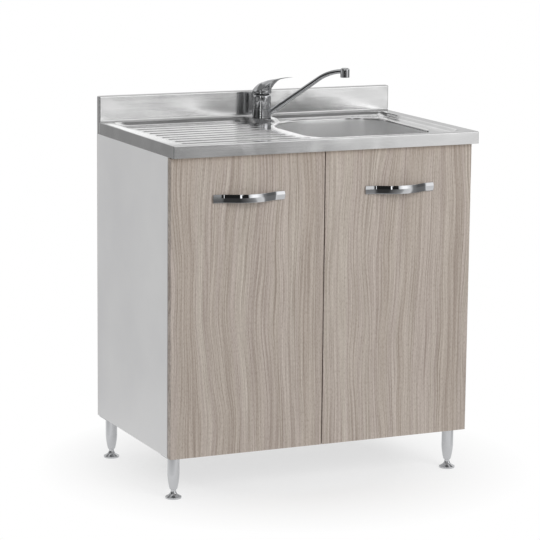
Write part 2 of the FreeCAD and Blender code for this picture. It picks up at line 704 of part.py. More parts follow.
def basket_strainer(well):
    """A slotted basket whose rim rests on the flange round the well, with a lifting knob."""
    top = bowl_floor + WASTE_WALL + SLIP
    rim = well + BASKET_RIM
    floor = top - BASKET_DEPTH
    knob_foot = floor + BASKET_WALL
    neck_low = knob_foot + BASKET_DEPTH * 0.5
    neck_high = top - KNOB_NECK_RADIUS * 2
    basket = turned([(0, floor), (BASKET_FLOOR_RADIUS, floor), (BASKET_RADIUS, top), (rim, top),
                     (rim, top + BASKET_WALL), (BASKET_RADIUS - BASKET_WALL, top + BASKET_WALL),
                     (BASKET_FLOOR_RADIUS - BASKET_WALL, knob_foot), (KNOB_FOOT_RADIUS, knob_foot),
                     (KNOB_NECK_RADIUS + 1, neck_low), (KNOB_NECK_RADIUS, neck_high),
                     (KNOB_RADIUS, top - 2), (KNOB_RADIUS, top + 1), (0, top + 2)], bowl_x, bowl_y, 0)
    for index in range(BASKET_SLOTS):
        slot = box(bowl_x + BASKET_SLOT_START, bowl_x + BASKET_FLOOR_RADIUS - BASKET_SLOT_WIDTH,
                   bowl_y - BASKET_SLOT_WIDTH / 2, bowl_y + BASKET_SLOT_WIDTH / 2,
                   floor - 1, knob_foot + 1)
        slot.rotate(Vector(bowl_x, bowl_y, 0), UP, 360 / BASKET_SLOTS * index)
        basket = basket.cut(slot)
    return basket


def overflow_pipe():
    """Out of the bowl's left wall, down beside the bowl and back into the waste body."""
    start_x = bowl_x0 - SHEET
    far_x = start_x - OVERFLOW_PIPE_OUT
    end_x = bowl_x - WASTE_HOLE_RADIUS - LOOSE - WASTE_BODY_WALL
    bend = OVERFLOW_BEND
    corner = bend * (1 - math.sqrt(0.5))
    top = [Vector(start_x, bowl_y, overflow_z), Vector(far_x + bend, bowl_y, overflow_z)]
    down = [Vector(far_x, bowl_y, overflow_z - bend), Vector(far_x, bowl_y, overflow_inlet_z + bend)]
    away = [Vector(far_x + bend, bowl_y, overflow_inlet_z), Vector(end_x, bowl_y, overflow_inlet_z)]
    upper_mid = Vector(far_x + corner, bowl_y, overflow_z - corner)
    lower_mid = Vector(far_x + corner, bowl_y, overflow_inlet_z + corner)
    path = Part.Wire([Part.LineSegment(*top).toShape(),
                      Part.Arc(top[1], upper_mid, down[0]).toShape(),
                      Part.LineSegment(*down).toShape(),
                      Part.Arc(down[1], lower_mid, away[0]).toShape(),
                      Part.LineSegment(*away).toShape()])
    solids = []
    for radius in (OVERFLOW_PIPE_RADIUS, OVERFLOW_PIPE_RADIUS - OVERFLOW_PIPE_WALL):
        section = Part.Wire([Part.Circle(top[0], RIGHT, radius).toShape()])
        solids.append(path.makePipeShell([section], True, False))
    flange = rod(start_x, bowl_y, overflow_z, OVERFLOW_RADIUS, OVERFLOW_FLANGE, Vector(-1, 0, 0))
    return solids[0].fuse(flange).cut(solids[1]).removeSplitter()


# ---------------------------------------------------------------- bottle trap
def build_trap():
    """The bottle trap: a tube dips into the bottle, a cup screws on from below, and the
    outlet runs straight back through the service hole. A bead on the outlet stops it
    where it slides into the wall pipe."""
    tube_inside = TRAP_TUBE_RADIUS - TRAP_WALL
    tube = ring(bowl_x, bowl_y, waste_end - TRAP_TUBE_LENGTH, TRAP_TUBE_RADIUS, tube_inside, TRAP_TUBE_LENGTH)
    lip_low = waste_end - TRAP_TUBE_LIP
    lip = ring(bowl_x, bowl_y, lip_low, WASTE_OUTLET_RADIUS, tube_inside, TRAP_TUBE_LIP)
    nodes["trap_inlet_tube"] = tube.fuse(lip).removeSplitter()

    body_low = trap_roof - TRAP_BODY_HEIGHT
    inner = TRAP_RADIUS - TRAP_WALL
    neck = TRAP_TUBE_RADIUS + SLIP
    stub_start = bowl_y + inner - TRAP_WALL
    stub_end = bowl_y + TRAP_RADIUS + TRAP_STUB
    stub_bore = TRAP_OUTLET_RADIUS - TRAP_WALL
    body = turned([(inner, body_low), (TRAP_RADIUS, body_low), (TRAP_RADIUS, trap_roof),
                   (neck, trap_roof), (neck, trap_roof - TRAP_ROOF), (inner, trap_roof - TRAP_ROOF)],
                  bowl_x, bowl_y, 0)
    body = body.fuse(rod(bowl_x, stub_start, trap_outlet_z, TRAP_OUTLET_RADIUS, stub_end - stub_start, BACK))
    body = body.cut(rod(bowl_x, bowl_y, trap_outlet_z, stub_bore, stub_end - bowl_y + 1, BACK))
    body = body.cut(rod(bowl_x, bowl_y, body_low, neck, TRAP_BODY_HEIGHT + 1))
    nodes["trap_body"] = body.removeSplitter()

    sleeve = TRAP_RADIUS + SLIP
    grip_top = body_low + TRAP_CUP_GRIP
    cup_low = grip_top - TRAP_CUP_HEIGHT
    cup_outside = sleeve + TRAP_CUP_WALL
    cup_floor = cup_low + TRAP_CUP_FLOOR
    nodes["trap_cup"] = turned([(0, cup_low), (inner - TRAP_CUP_ROUND, cup_low),
                                ((inner + 1, cup_low + 5), (cup_outside, body_low - TRAP_ROOF)),
                                (cup_outside, grip_top), (sleeve, grip_top), (sleeve, body_low),
                                (inner, body_low), (inner, body_low - TRAP_CUP_WALL * 2),
                                (inner - TRAP_CUP_ROUND - TRAP_WALL, cup_floor), (0, cup_floor)],
                               bowl_x, bowl_y, 0)
    pipe_bore = TRAP_PIPE_RADIUS - TRAP_WALL
    bead_y = y_rear - OUTLET_SPIGOT - OUTLET_BEAD
    pipe = ring(bowl_x, stub_end, trap_outlet_z, TRAP_PIPE_RADIUS, pipe_bore, y_rear - stub_end, BACK)
    bead = ring(bowl_x, bead_y, trap_outlet_z, OUTLET_BEAD_RADIUS, pipe_bore, OUTLET_BEAD, BACK)
    nodes["trap_outlet_pipe"] = pipe.fuse(bead).removeSplitter()

    upper_low = lip_low - TRAP_WALL
    upper = flute_nut(bowl_x, bowl_y, upper_low, UP)
    upper = upper.cut(rod(bowl_x, bowl_y, upper_low - 1, neck, NUT_HEIGHT + 2))
    upper = upper.cut(rod(bowl_x, bowl_y, lip_low - SLIP, WASTE_OUTLET_RADIUS + SLIP, NUT_HEIGHT))
    nut_front = stub_end + NUT_OVERLAP - NUT_HEIGHT
    rear = flute_nut(bowl_x, nut_front, trap_outlet_z, BACK)
    rear = rear.cut(rod(bowl_x, nut_front - 1, trap_outlet_z, TRAP_PIPE_RADIUS + SLIP, NUT_HEIGHT + 2, BACK))
    rear = rear.cut(rod(bowl_x, nut_front - 1, trap_outlet_z, TRAP_OUTLET_RADIUS + SLIP,
                        stub_end - nut_front + 1 + SLIP, BACK))
    nodes["trap_nuts"] = group([upper, rear])


def flute_nut(x, y, z, direction):
    """A round plastic nut with grip flutes round its rim."""
    nut = rod(x, y, z, NUT_RADIUS, NUT_HEIGHT, direction)
    for across, other in around(NUT_FLUTES, NUT_RADIUS + 1):
        if direction == UP:
            flute = rod(x + across, y + other, z - 1, NUT_FLUTE_RADIUS, NUT_HEIGHT + 2, UP)
        else:
            flute = rod(x + across, y - 1, z + other, NUT_FLUTE_RADIUS, NUT_HEIGHT + 2, BACK)
        nut = nut.cut(flute)
    return nut


# ---------------------------------------------------------------- mixer tap
def along(angle, reach, height):
    """The point at a reach from the tap's axis, turned angle degrees from straight ahead."""
    turn = math.radians(angle)
    return Vector(tap_x + reach * math.sin(turn), tap_y - reach * math.cos(turn), DECK_HEIGHT + height)


def oval_section(angle, reach, height, rise, half_height, half_width):
    """An ellipse square to a path that climbs at rise degrees in the vertical plane."""
    centre = along(angle, reach, height)
    turn = math.radians(angle)
    lift = math.radians(rise)
    sideways = Vector(math.cos(turn), math.sin(turn), 0)
    forward = Vector(math.sin(turn) * math.cos(lift), -math.cos(turn) * math.cos(lift), math.sin(lift))
    upright = sideways.cross(forward)
    ellipse = Part.Ellipse(centre + sideways * half_width, centre + upright * half_height, centre)
    return Part.Wire([ellipse.toShape()])


def spout_loft(share):
    """The spout arm, straight and then bending level, scaled in section by share."""
    run = SPOUT_STRAIGHT_REACH - TAP_NECK_RADIUS
    climb = (SPOUT_STRAIGHT_RISE - SPOUT_START_HEIGHT) / run
    slope = math.degrees(math.atan(climb))
    bend_reach = (SPOUT_STRAIGHT_REACH + SPOUT_REACH) / 2
    bend_height = SPOUT_HEAD_HEIGHT - (SPOUT_HEAD_HEIGHT - SPOUT_STRAIGHT_RISE) * 0.2
    root_reach = TAP_NECK_RADIUS + 3
    stations = [(root_reach, SPOUT_START_HEIGHT + 2, slope, SPOUT_ROOT_HALF),
                (TAP_NECK_RADIUS + run * 0.54, SPOUT_START_HEIGHT + run * 0.54 * climb, slope,
                 (SPOUT_ROOT_HALF + SPOUT_TIP_HALF) / 2),
                (SPOUT_STRAIGHT_REACH, SPOUT_STRAIGHT_RISE, slope * 0.85, SPOUT_TIP_HALF),
                (bend_reach, bend_height, slope * 0.3, SPOUT_TIP_HALF),
                (SPOUT_REACH, SPOUT_HEAD_HEIGHT, 0, SPOUT_TIP_HALF)]
    sections = []
    for reach, height, rise, half in stations:
        sections.append(oval_section(SPOUT_ANGLE, reach, height, rise, half * share,
                                     half * share * SPOUT_WIDEN))
    return Part.makeLoft(sections, True, False)


def build_tap():
    collar_low = tap_base + TAP_BASE_HEIGHT
    nodes["tap_seal"] = ring(tap_x, tap_y, DECK_HEIGHT, TAP_RADIUS - 0.5, TAP_SHANK_RADIUS + SLIP, TAP_SEAL)
    nodes["tap_base_ring"] = ring(tap_x, tap_y, tap_base, TAP_RADIUS, TAP_NECK_RADIUS, TAP_BASE_HEIGHT)
    cartridge_low = body_top - CARTRIDGE_HEIGHT - CARTRIDGE_BELOW_TOP
    shank_low = DECK_HEIGHT - TAP_SHANK_LENGTH
    nodes["tap_body"] = tap_body(collar_low + COLLAR_HEIGHT + LOOSE, cartridge_low, shank_low)
    tail_length = TAP_SHANK_LENGTH + TAP_SEAL + TAIL_IN_BODY + TAIL_BELOW_SHANK
    tail_low = shank_low - TAIL_BELOW_SHANK
    tails = []
    for x in tail_places():
        tail = rod(x, tap_y, tail_low, TAIL_RADIUS, tail_length)
        tail = tail.fuse(hexagon(x, tap_y, shank_low - TAIL_COLLAR, TAIL_COLLAR_RADIUS, TAIL_COLLAR))
        tails.append(tail.cut(rod(x, tap_y, tail_low - 1, TAIL_BORE, tail_length + 2)))
    nodes["inlet_tails"] = group(tails)

    washer_low = DECK_HEIGHT - SHEET - CLAMP_WASHER
    shank_bore = TAP_SHANK_RADIUS + SLIP
    nodes["tap_clamp_washer"] = ring(tap_x, tap_y, washer_low, TAP_RADIUS - 1, shank_bore, CLAMP_WASHER)
    nut_low = washer_low - SHANK_NUT_HEIGHT
    nut = hexagon(tap_x, tap_y, nut_low, SHANK_NUT_RADIUS, SHANK_NUT_HEIGHT)
    nodes["tap_shank_nut"] = nut.cut(rod(tap_x, tap_y, nut_low - 1, shank_bore, SHANK_NUT_HEIGHT + 2))

    rotor_low = cartridge_low + CARTRIDGE_HEIGHT - ROTOR_HEIGHT
    cartridge = rod(tap_x, tap_y, cartridge_low, CARTRIDGE_RADIUS, CARTRIDGE_HEIGHT)
    nodes["cartridge"] = cartridge.cut(rod(tap_x, tap_y, rotor_low, ROTOR_RADIUS + FIT, ROTOR_HEIGHT + 1))
    rotor = rod(tap_x, tap_y, rotor_low + SLIP, ROTOR_RADIUS, ROTOR_HEIGHT)
    slot_half = SPINDLE_HALF + LOOSE
    slot_reach = ROTOR_RADIUS - ROTOR_SLOT_WALL
    slot = box(tap_x - slot_half, tap_x + slot_half, tap_y - slot_reach, tap_y + slot_reach,
               rotor_low - 1, rotor_low + ROTOR_HEIGHT + 1)
    slot.rotate(Vector(tap_x, tap_y, 0), UP, LEVER_ANGLE)
    pivot_z = rotor_low + SLIP + SPINDLE_PIVOT_HEIGHT
    pin = cross_rod(pivot_z, SPINDLE_PIN_RADIUS, slot_half + SPINDLE_PIN_HELD)
    nodes["cartridge_rotor"] = rotor.cut(slot).fuse(pin).removeSplitter()
    build_spout(collar_low)
    build_lever(pivot_z)


def hexagon(x, y, z, radius, height):
    """An upright six-sided bar, its radius measured to the corners."""
    corners = [Vector(x + dx, y + dy, z) for dx, dy in around(6, radius)]
    return Part.Face(Part.makePolygon(corners + corners[:1])).extrude(Vector(0, 0, height))


def cross_rod(z, radius, half):
    """A level rod through the tap's axis, square to the lever."""
    bar = rod(tap_x - half, tap_y, z, radius, 2 * half, RIGHT)
    bar.rotate(Vector(tap_x, tap_y, 0), UP, LEVER_ANGLE)
    return bar


def tail_places():
    return (tap_x - TAIL_OFFSET, tap_x + TAIL_OFFSET)


def tap_body(skirt, cartridge_low, shank_low):
    """The body: a threaded shank through the deck, the neck that carries the spout, and
    a cylinder above it with a rounded shoulder, bored for the cartridge and the tails."""
    shoulder = body_top - BODY_SHOULDER
    mid = BODY_SHOULDER * math.sqrt(0.5)
    arc_mid = (BODY_RADIUS - BODY_SHOULDER + mid, shoulder + mid)
    body = turned([(0, shank_low), (TAP_SHANK_RADIUS, shank_low), (TAP_SHANK_RADIUS, tap_base),
                   (TAP_NECK_RADIUS, tap_base), (TAP_NECK_RADIUS, skirt), (BODY_RADIUS, skirt),
                   (BODY_RADIUS, shoulder), (arc_mid, (BODY_RADIUS - BODY_SHOULDER, body_top)),
                   (0, body_top)], tap_x, tap_y, 0)
    body = body.cut(rod(tap_x, tap_y, cartridge_low, CARTRIDGE_RADIUS + FIT, CARTRIDGE_HEIGHT * 2))
    tail_top = tap_base + TAIL_IN_BODY
    for x in tail_places():
        body = body.cut(rod(x, tap_y, shank_low - 1, TAIL_RADIUS + FIT, tail_top - shank_low + 1))
        body = body.cut(rod(x, tap_y, tail_top - 1, TAIL_BORE, cartridge_low - tail_top + 2))
    return body


def build_spout(collar_low):
    """The swivelling spout: a collar round the tap's neck, the arm and the outlet head."""
    collar = rod(tap_x, tap_y, collar_low + SLIP, TAP_RADIUS, COLLAR_HEIGHT - 2 * SLIP)
    centre = along(SPOUT_ANGLE, SPOUT_REACH, OUTLET_BOTTOM)
    head = rod(centre.x, centre.y, centre.z, OUTLET_RADIUS, OUTLET_TOP - OUTLET_BOTTOM)
    head = head.makeFillet(OUTLET_ROUND, edges_at(head, DECK_HEIGHT + OUTLET_TOP))
    spout = collar.fuse(spout_loft(1)).fuse(head)
    spout = spout.cut(rod(tap_x, tap_y, collar_low - 1, TAP_NECK_RADIUS + FIT, COLLAR_HEIGHT + 4))
    spout = spout.cut(rod(tap_x, tap_y, collar_low + COLLAR_HEIGHT - SLIP, BODY_RADIUS + LOOSE, COLLAR_HEIGHT))
    aerator_top = centre.z + AERATOR_INSET + AERATOR_HEIGHT
    spout = spout.cut(rod(centre.x, centre.y, centre.z - 1, AERATOR_RADIUS + FIT, aerator_top - centre.z + 5))
    spout = spout.cut(spout_loft(SPOUT_BORE_SHARE))
    nodes["spout"] = spout.removeSplitter()
    aerator = rod(centre.x, centre.y, centre.z + AERATOR_INSET, AERATOR_RADIUS, AERATOR_HEIGHT)
    for dx, dy in around(AERATOR_HOLES, AERATOR_RADIUS / 2):
        aerator = aerator.cut(rod(centre.x + dx, centre.y + dy, centre.z, AERATOR_HOLE_RADIUS,
                                  AERATOR_HEIGHT + 2))
    nodes["aerator"] = aerator


def lever_section(reach, below_tip, half_width, half_height):
    height = LEVER_TIP_HEIGHT - below_tip - half_height
    return oval_section(LEVER_ANGLE, reach, height, 0, half_height, half_width)


def build_lever(pivot_z):
    """The lever: a hollow domed hub over the cartridge and a thin arm to the front, which
    leaves the dome as one line with its top. Its spindle rocks on a pin across the rotor."""
    rim = body_top + HUB_GAP
    crown = body_top + HUB_TOP
    waist = rim + HUB_STRAIGHT
    arc_mid = (HUB_RADIUS * 0.8, waist + (crown - waist) * 0.66)
    dome = turned([(0, rim), (HUB_RADIUS, rim), (HUB_RADIUS, waist), (arc_mid, (HUB_CROWN_RADIUS, crown)),
                   (0, crown)], tap_x, tap_y, 0)
    crown_below_tip = LEVER_TIP_HEIGHT - BODY_TOP - HUB_TOP
    width_step = (LEVER_ROOT_HALF_WIDTH - LEVER_TIP_HALF_WIDTH) / 3
    arm = Part.makeLoft([
        lever_section(LEVER_ROOT, crown_below_tip + 4, LEVER_ROOT_HALF_WIDTH, LEVER_ROOT_HALF_HEIGHT),
        lever_section(LEVER_REACH * 0.3, 7, LEVER_ROOT_HALF_WIDTH - width_step,
                      LEVER_ROOT_HALF_HEIGHT * 0.72),
        lever_section(LEVER_REACH * 0.58, 2, LEVER_TIP_HALF_WIDTH + width_step, LEVER_TIP_HALF_HEIGHT * 1.8),
        lever_section(LEVER_REACH, 0.2, LEVER_TIP_HALF_WIDTH, LEVER_TIP_HALF_HEIGHT)], True, False)
    inner = HUB_RADIUS - HUB_WALL
    cavity_top = rim + HUB_CAVITY
    lever = dome.fuse(arm).cut(rod(tap_x, tap_y, rim - 1, inner, HUB_CAVITY + 1))
    spindle = box(tap_x - SPINDLE_HALF, tap_x + SPINDLE_HALF, tap_y - SPINDLE_HALF, tap_y + SPINDLE_HALF,
                  pivot_z, cavity_top + 1)
    spindle.rotate(Vector(tap_x, tap_y, 0), UP, LEVER_ANGLE)
    lever = lever.fuse(spindle).fuse(cross_rod(pivot_z, SPINDLE_EYE_RADIUS, SPINDLE_HALF))
    lever = lever.cut(cross_rod(pivot_z, SPINDLE_PIN_RADIUS + FIT, SPINDLE_HALF + 1))

    turn = math.radians(LEVER_ANGLE)
    outward = Vector(math.sin(turn), -math.cos(turn), 0)
    button_height = BODY_TOP + HUB_GAP + HUB_STRAIGHT / 2
    button_start = along(LEVER_ANGLE, inner - 2, button_height)
    hole = Part.makeCylinder(INDEX_RADIUS + FIT, HUB_WALL + 5, button_start, outward)
    nodes["lever"] = lever.cut(hole).removeSplitter()
    button = Part.makeCylinder(INDEX_RADIUS, HUB_WALL + 5, button_start, outward)
    hub_wall = ring(tap_x, tap_y, rim, HUB_RADIUS + SLIP, inner + SLIP, HUB_STRAIGHT)
    nodes["index_button"] = button.common(hub_wall)


# ---------------------------------------------------------------- doors, handles, hinges
def hinge_heights():
    return (door_bottom + HINGE_FROM_DOOR_END, door_top - HINGE_FROM_DOOR_END)


def handle_bar(x, z):
    """Flat feet on the door joined by a bow: sloping straps and an arc between them."""
    half = HANDLE_LENGTH / 2
    foot = half - HANDLE_FOOT
    strap = door_front - HANDLE_STRAP
    bow = door_front - HANDLE_REACH
    shoulder = bow + HANDLE_ARC_DEPTH
    low = z - HANDLE_HEIGHT / 2

    def point(dx, y):
        return Vector(x + dx, y, low)

    def line(start, end):
        return Part.LineSegment(start, end).toShape()

    def bowed(end_x, end_y, arc_half, arc_y, middle_y):
        """From the left end to the right: a line, an arc and a line."""
        left = point(-arc_half, arc_y)
        right = point(arc_half, arc_y)
        return [line(point(-end_x, end_y), left), Part.Arc(left, point(0, middle_y), right).toShape(),
                line(right, point(end_x, end_y))]

    toe = strap - HANDLE_STEP
    heel = foot + HANDLE_STEP
    edges = [line(point(-half, door_front), point(-half, strap)), line(point(-half, strap), point(-foot, toe))]
    edges += bowed(foot, toe, HANDLE_ARC_HALF, shoulder, bow)
    edges += [line(point(foot, toe), point(half, strap)), line(point(half, strap), point(half, door_front))]
    edges += [line(point(half, door_front), point(heel, door_front)),
              line(point(-heel, door_front), point(-half, door_front))]
    edges += bowed(heel, door_front, HANDLE_ARC_HALF - HANDLE_STRAP / 2, shoulder + HANDLE_STRAP,
                   bow + HANDLE_STRAP)
    edges = Part.__sortEdges__(edges)
    return Part.Face(Part.Wire(edges)).extrude(Vector(0, 0, HANDLE_HEIGHT))


def hinge_cup(x, z):
    """A steel cup pressed into the door, with a flange on the door's back and the hinge
    pin across its mouth."""
    cup_x = x + CUP_EDGE + CUP_RADIUS
    cup_floor = door_back - CUP_DEPTH
    cup = rod(cup_x, cup_floor, z, CUP_RADIUS, CUP_DEPTH, BACK)
    flange_x = x + CUP_EDGE - 0.5
    flange = box(flange_x, flange_x + CUP_FLANGE_WIDTH, door_back, door_back + CUP_FLANGE,
                 z - CUP_FLANGE_HEIGHT / 2, z + CUP_FLANGE_HEIGHT / 2)
    flange = flange.common(rod(cup_x, door_back, z, CUP_FLANGE_HEIGHT / 2, CUP_FLANGE, BACK))
    cavity = rod(cup_x, cup_floor + CUP_WALL, z, CUP_RADIUS - CUP_WALL, CUP_DEPTH * 2, BACK)
    wall_middle = CUP_RADIUS - CUP_WALL / 2
    pin_offset = CUP_RADIUS + CUP_EDGE - PIVOT_FROM_EDGE
    pin_half = math.sqrt(wall_middle ** 2 - pin_offset ** 2)
    pin = rod(x + PIVOT_FROM_EDGE, pivot_y, z - pin_half,
              HINGE_PIN_RADIUS, 2 * pin_half)
    return cup.fuse(flange).cut(cavity).fuse(pin).removeSplitter()


def build_left_door():
    """The left door with its handle, hinge cups and screws."""
    x0 = carcass_left
    x1 = carcass_left + door_width
    handle_z = door_top - HANDLE_BELOW_DOOR_TOP
    handle_x = (x0 + x1) / 2
    door = box(x0, x1, door_front, door_back, door_bottom, door_top)
    handle = handle_bar(handle_x, handle_z)
    handle_screws = []
    screw_start = door_front - HANDLE_STRAP + HANDLE_SCREW_COVER
    screw_length = door_back - screw_start
    for side in (-1, 1):
        x = handle_x + side * (HANDLE_LENGTH - HANDLE_FOOT) / 2
        hole = rod(x, screw_start, handle_z, HANDLE_SCREW_RADIUS + FIT, screw_length + 1, BACK)
        door = door.cut(hole)
        handle = handle.cut(hole)
        shank = rod(x, screw_start, handle_z, HANDLE_SCREW_RADIUS, screw_length, BACK)
        head = rod(x, door_back, handle_z, HANDLE_SCREW_HEAD_RADIUS, HANDLE_SCREW_HEAD, BACK)
        handle_screws.append(shank.fuse(head).removeSplitter())
    cup_x = x0 + CUP_EDGE + CUP_RADIUS
    cups = []
    cup_screws = []
    way = Vector(0, -1, 0)
    for z in hinge_heights():
        door = door.cut(rod(cup_x, door_back - CUP_DEPTH, z, CUP_RADIUS + FIT, CUP_DEPTH + 1, BACK))
        cup = hinge_cup(x0, z)
        for side in (-1, 1):
            point = Vector(cup_x, door_back + CUP_FLANGE, z + side * CUP_SCREW_SPACING / 2)
            cup = cup.cut(screw_hole(point, way))
            door = door.cut(screw_hole(point, way))
            cup_screws.append(wood_screw(point, way))
        cups.append(cup)
    return {"door": [door], "handle": [handle], "handle_screws": handle_screws,
            "hinge_cups": cups, "cup_screws": cup_screws}


def hinge_arm(z):
    """The arm on the side panel: an eye on the hinge pin, a crank clear of the door's
    edge, and a channel on the mounting plate."""
    pivot_x = carcass_left + PIVOT_FROM_EDGE
    low = z - ARM_NOSE_WIDTH / 2
    high = z + ARM_NOSE_WIDTH / 2
    half = ARM_THICKNESS / 2
    arm_x0 = inner_left + PLATE_THICKNESS
    arm_y0 = carcass_front + PLATE_FROM_EDGE
    eye = rod(pivot_x, pivot_y, low, HINGE_EYE_RADIUS, ARM_NOSE_WIDTH)
    nose = box(pivot_x, arm_x0 + ARM_THICKNESS, pivot_y - half, pivot_y + half, low, high)
    crank = box(arm_x0, arm_x0 + ARM_THICKNESS, pivot_y - half, arm_y0 + ARM_DEPTH, low, high)
    channel = box(arm_x0, arm_x0 + ARM_DEPTH, arm_y0, arm_y0 + ARM_LENGTH,
                  z - ARM_WIDTH / 2, z + ARM_WIDTH / 2)
    arm = joined([eye, nose, crank, channel])
    return arm.cut(rod(pivot_x, pivot_y, low - 1, HINGE_PIN_RADIUS + FIT, ARM_NOSE_WIDTH + 2))


def plate_screw_places():
    """Screws of the hinge plates on the left side panel: (point, way in)."""
    x = inner_left + PLATE_THICKNESS
    y = carcass_front + PLATE_FROM_EDGE + PLATE_LENGTH / 2
    away = PLATE_HEIGHT / 2 - SCREW_FROM_PLATE_END
    places = []
    for hinge_z in hinge_heights():
        for z in (hinge_z - away, hinge_z + away):
            places.append((Vector(x, y, z), Vector(-1, 0, 0)))
    return places


def mirrored_places(places):
    both = list(places)
    for point, way in places:
        other = Vector(2 * carcass_middle - point.x, point.y, point.z)
        both.append((other, Vector(-way.x, way.y, way.z)))
    return both


def build_doors():
    for stem, pieces in build_left_door().items():
        nodes[stem + "_left"] = group(pieces)
        nodes[stem + "_right"] = group([mirrored(piece) for piece in pieces])
    nodes["hinge_arms"] = group(both_sides([hinge_arm(z) for z in hinge_heights()]))
    y0 = carcass_front + PLATE_FROM_EDGE
    plates = []
    for z in hinge_heights():
        plates.append(box(inner_left, inner_left + PLATE_THICKNESS, y0, y0 + PLATE_LENGTH,
                          z - PLATE_HEIGHT / 2, z + PLATE_HEIGHT / 2))
    holes = group([screw_hole(*place) for place in mirrored_places(plate_screw_places())])
    nodes["hinge_plates"] = group([plate.cut(holes) for plate in both_sides(plates)])


# ---------------------------------------------------------------- legs and feet
def leg_places():
    front = door_front + LEG_FROM_DOOR_FRONT
    rear = y_rear - LEG_FROM_REAR
    left = carcass_left + LEG_FROM_SIDE
    right = carcass_right - LEG_FROM_SIDE
    return {"front_left": (left, front), "front_right": (right, front),
            "rear_left": (left, rear), "rear_right": (right, rear)}


def leg_screw_places():
    away = LEG_PLATE_SIZE / 2 - SCREW_FROM_LEG_PLATE_EDGE
    places = []
    for x, y in leg_places().values():
        for dx in (-away, away):
            for dy in (-away, away):
                places.append((Vector(x + dx, y + dy, CARCASS_BOTTOM - LEG_PLATE), UP))
    return places


def build_legs():
    """Turned metal legs on square plates, each with a foot on a threaded stem."""
    leg_top = CARCASS_BOTTOM - LEG_PLATE
    leg_length = leg_top - FOOT_HEIGHT
    end = LEG_END_RADIUS
    waist = FOOT_HEIGHT + leg_length * 0.44
    swell = (end + (LEG_RADIUS - end) * 0.66, FOOT_HEIGHT + leg_length * 0.2)
    neck = FOOT_NECK_RADIUS
    foot_top = FOOT_HEIGHT - SLIP
    stem_top = FOOT_HEIGHT + stem_length
    half = LEG_PLATE_SIZE / 2
    plates = []
    for name, (x, y) in leg_places().items():
        leg = turned([(0, FOOT_HEIGHT), (end, FOOT_HEIGHT), (swell, (LEG_RADIUS, waist)),
                      (LEG_RADIUS, leg_top), (0, leg_top)], x, y, 0)
        nodes["leg_" + name] = leg.cut(rod(x, y, FOOT_HEIGHT - 1, STEM_RADIUS + FIT, stem_length + 3))
        nodes["foot_" + name] = turned([(0, 0), (FOOT_RADIUS, 0), (FOOT_RADIUS, FOOT_RIM),
                                        ((neck + 3.5, FOOT_HEIGHT * 0.42), (neck, foot_top)),
                                        (STEM_RADIUS, foot_top), (STEM_RADIUS, stem_top),
                                        (0, stem_top)], x, y, 0)
        plates.append(box(x - half, x + half, y - half, y + half, leg_top, CARCASS_BOTTOM))
    holes = group([screw_hole(*place) for place in leg_screw_places()])
    nodes["leg_plates"] = group([plate.cut(holes) for plate in plates])


# ---------------------------------------------------------------- assembly
def build_wood_screws():
    """The identical wood screws of the clips, hinge plates and leg plates."""
    places = clip_screw_places() + mirrored_places(plate_screw_places()) + leg_screw_places()
    nodes["wood_screws"] = group([wood_screw(*place) for place in places])
    holes = group([screw_hole(*place) for place in places])
    for name in ("side_panel_left", "side_panel_right", "bottom_panel"):
        nodes[name] = nodes[name].cut(holes)


build_carcass()
build_sink()
build_waste()
build_trap()
build_tap()
build_doors()
build_legs()
build_wood_screws()

os.makedirs("parts", exist_ok=True)
for name, shape in nodes.items():
    shape.exportStep("parts/" + name + ".step")
    print(name, "solids", len(shape.Solids), "valid", shape.isValid(), "volume", round(shape.Volume))
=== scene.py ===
# %% [markdown]
# # A kitchen sink unit, surface by surface
# The real object is a two-door base cabinet on four chromed legs, with a pressed
# stainless steel top and a single-lever mixer tap. This file dresses its measured
# frame: pieces whose plain shape is right keep it and get a finish, and every
# piece that shows its form is worked out again as a fine surface.
# All shapes are written in millimetres and become metres when the mesh is made.

# %% Load the measured frame
import json
import math

import bmesh
import bpy
import numpy as np
from mathutils import Matrix, Vector

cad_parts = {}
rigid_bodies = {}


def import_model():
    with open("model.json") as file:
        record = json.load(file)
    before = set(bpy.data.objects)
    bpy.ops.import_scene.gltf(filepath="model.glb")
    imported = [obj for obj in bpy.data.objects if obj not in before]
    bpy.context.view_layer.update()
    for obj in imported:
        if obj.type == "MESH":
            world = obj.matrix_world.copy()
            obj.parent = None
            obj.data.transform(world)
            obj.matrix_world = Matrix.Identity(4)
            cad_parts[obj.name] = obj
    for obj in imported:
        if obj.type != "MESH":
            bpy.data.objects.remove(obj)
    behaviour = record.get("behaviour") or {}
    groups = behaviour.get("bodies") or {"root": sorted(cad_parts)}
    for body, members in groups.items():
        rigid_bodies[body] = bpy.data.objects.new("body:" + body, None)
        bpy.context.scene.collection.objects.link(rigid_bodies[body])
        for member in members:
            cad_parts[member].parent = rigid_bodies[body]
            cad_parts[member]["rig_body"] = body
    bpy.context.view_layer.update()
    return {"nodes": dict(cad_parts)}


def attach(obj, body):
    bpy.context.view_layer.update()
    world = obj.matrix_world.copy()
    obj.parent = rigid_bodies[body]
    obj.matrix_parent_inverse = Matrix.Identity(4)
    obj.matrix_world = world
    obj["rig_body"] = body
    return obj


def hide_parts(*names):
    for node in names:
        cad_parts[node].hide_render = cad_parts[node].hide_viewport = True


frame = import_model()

MM = 0.001

# %% [markdown]
# ## The camera
# The photograph was taken from the front left, about five and a half metres away
# and a little above the sink. A long lens keeps the cabinet's far corners almost as
# large as the near ones. All its upright edges are parallel in the picture, as they
# are when a lens is shifted instead of the camera tipped. This camera is tipped and
# keeps its lens centred, so that it frames the unit from any other side too; the long
# lens makes the difference a few pixels. Three angles say where it looks.

# %% Camera
LENS, SENSOR = 162.8, 36.0
TURNED, TIPPED, ROLLED = 24.57, 10.36, 0.56
CAMERA_AT = Vector((-2.505, -5.385, 1.579))


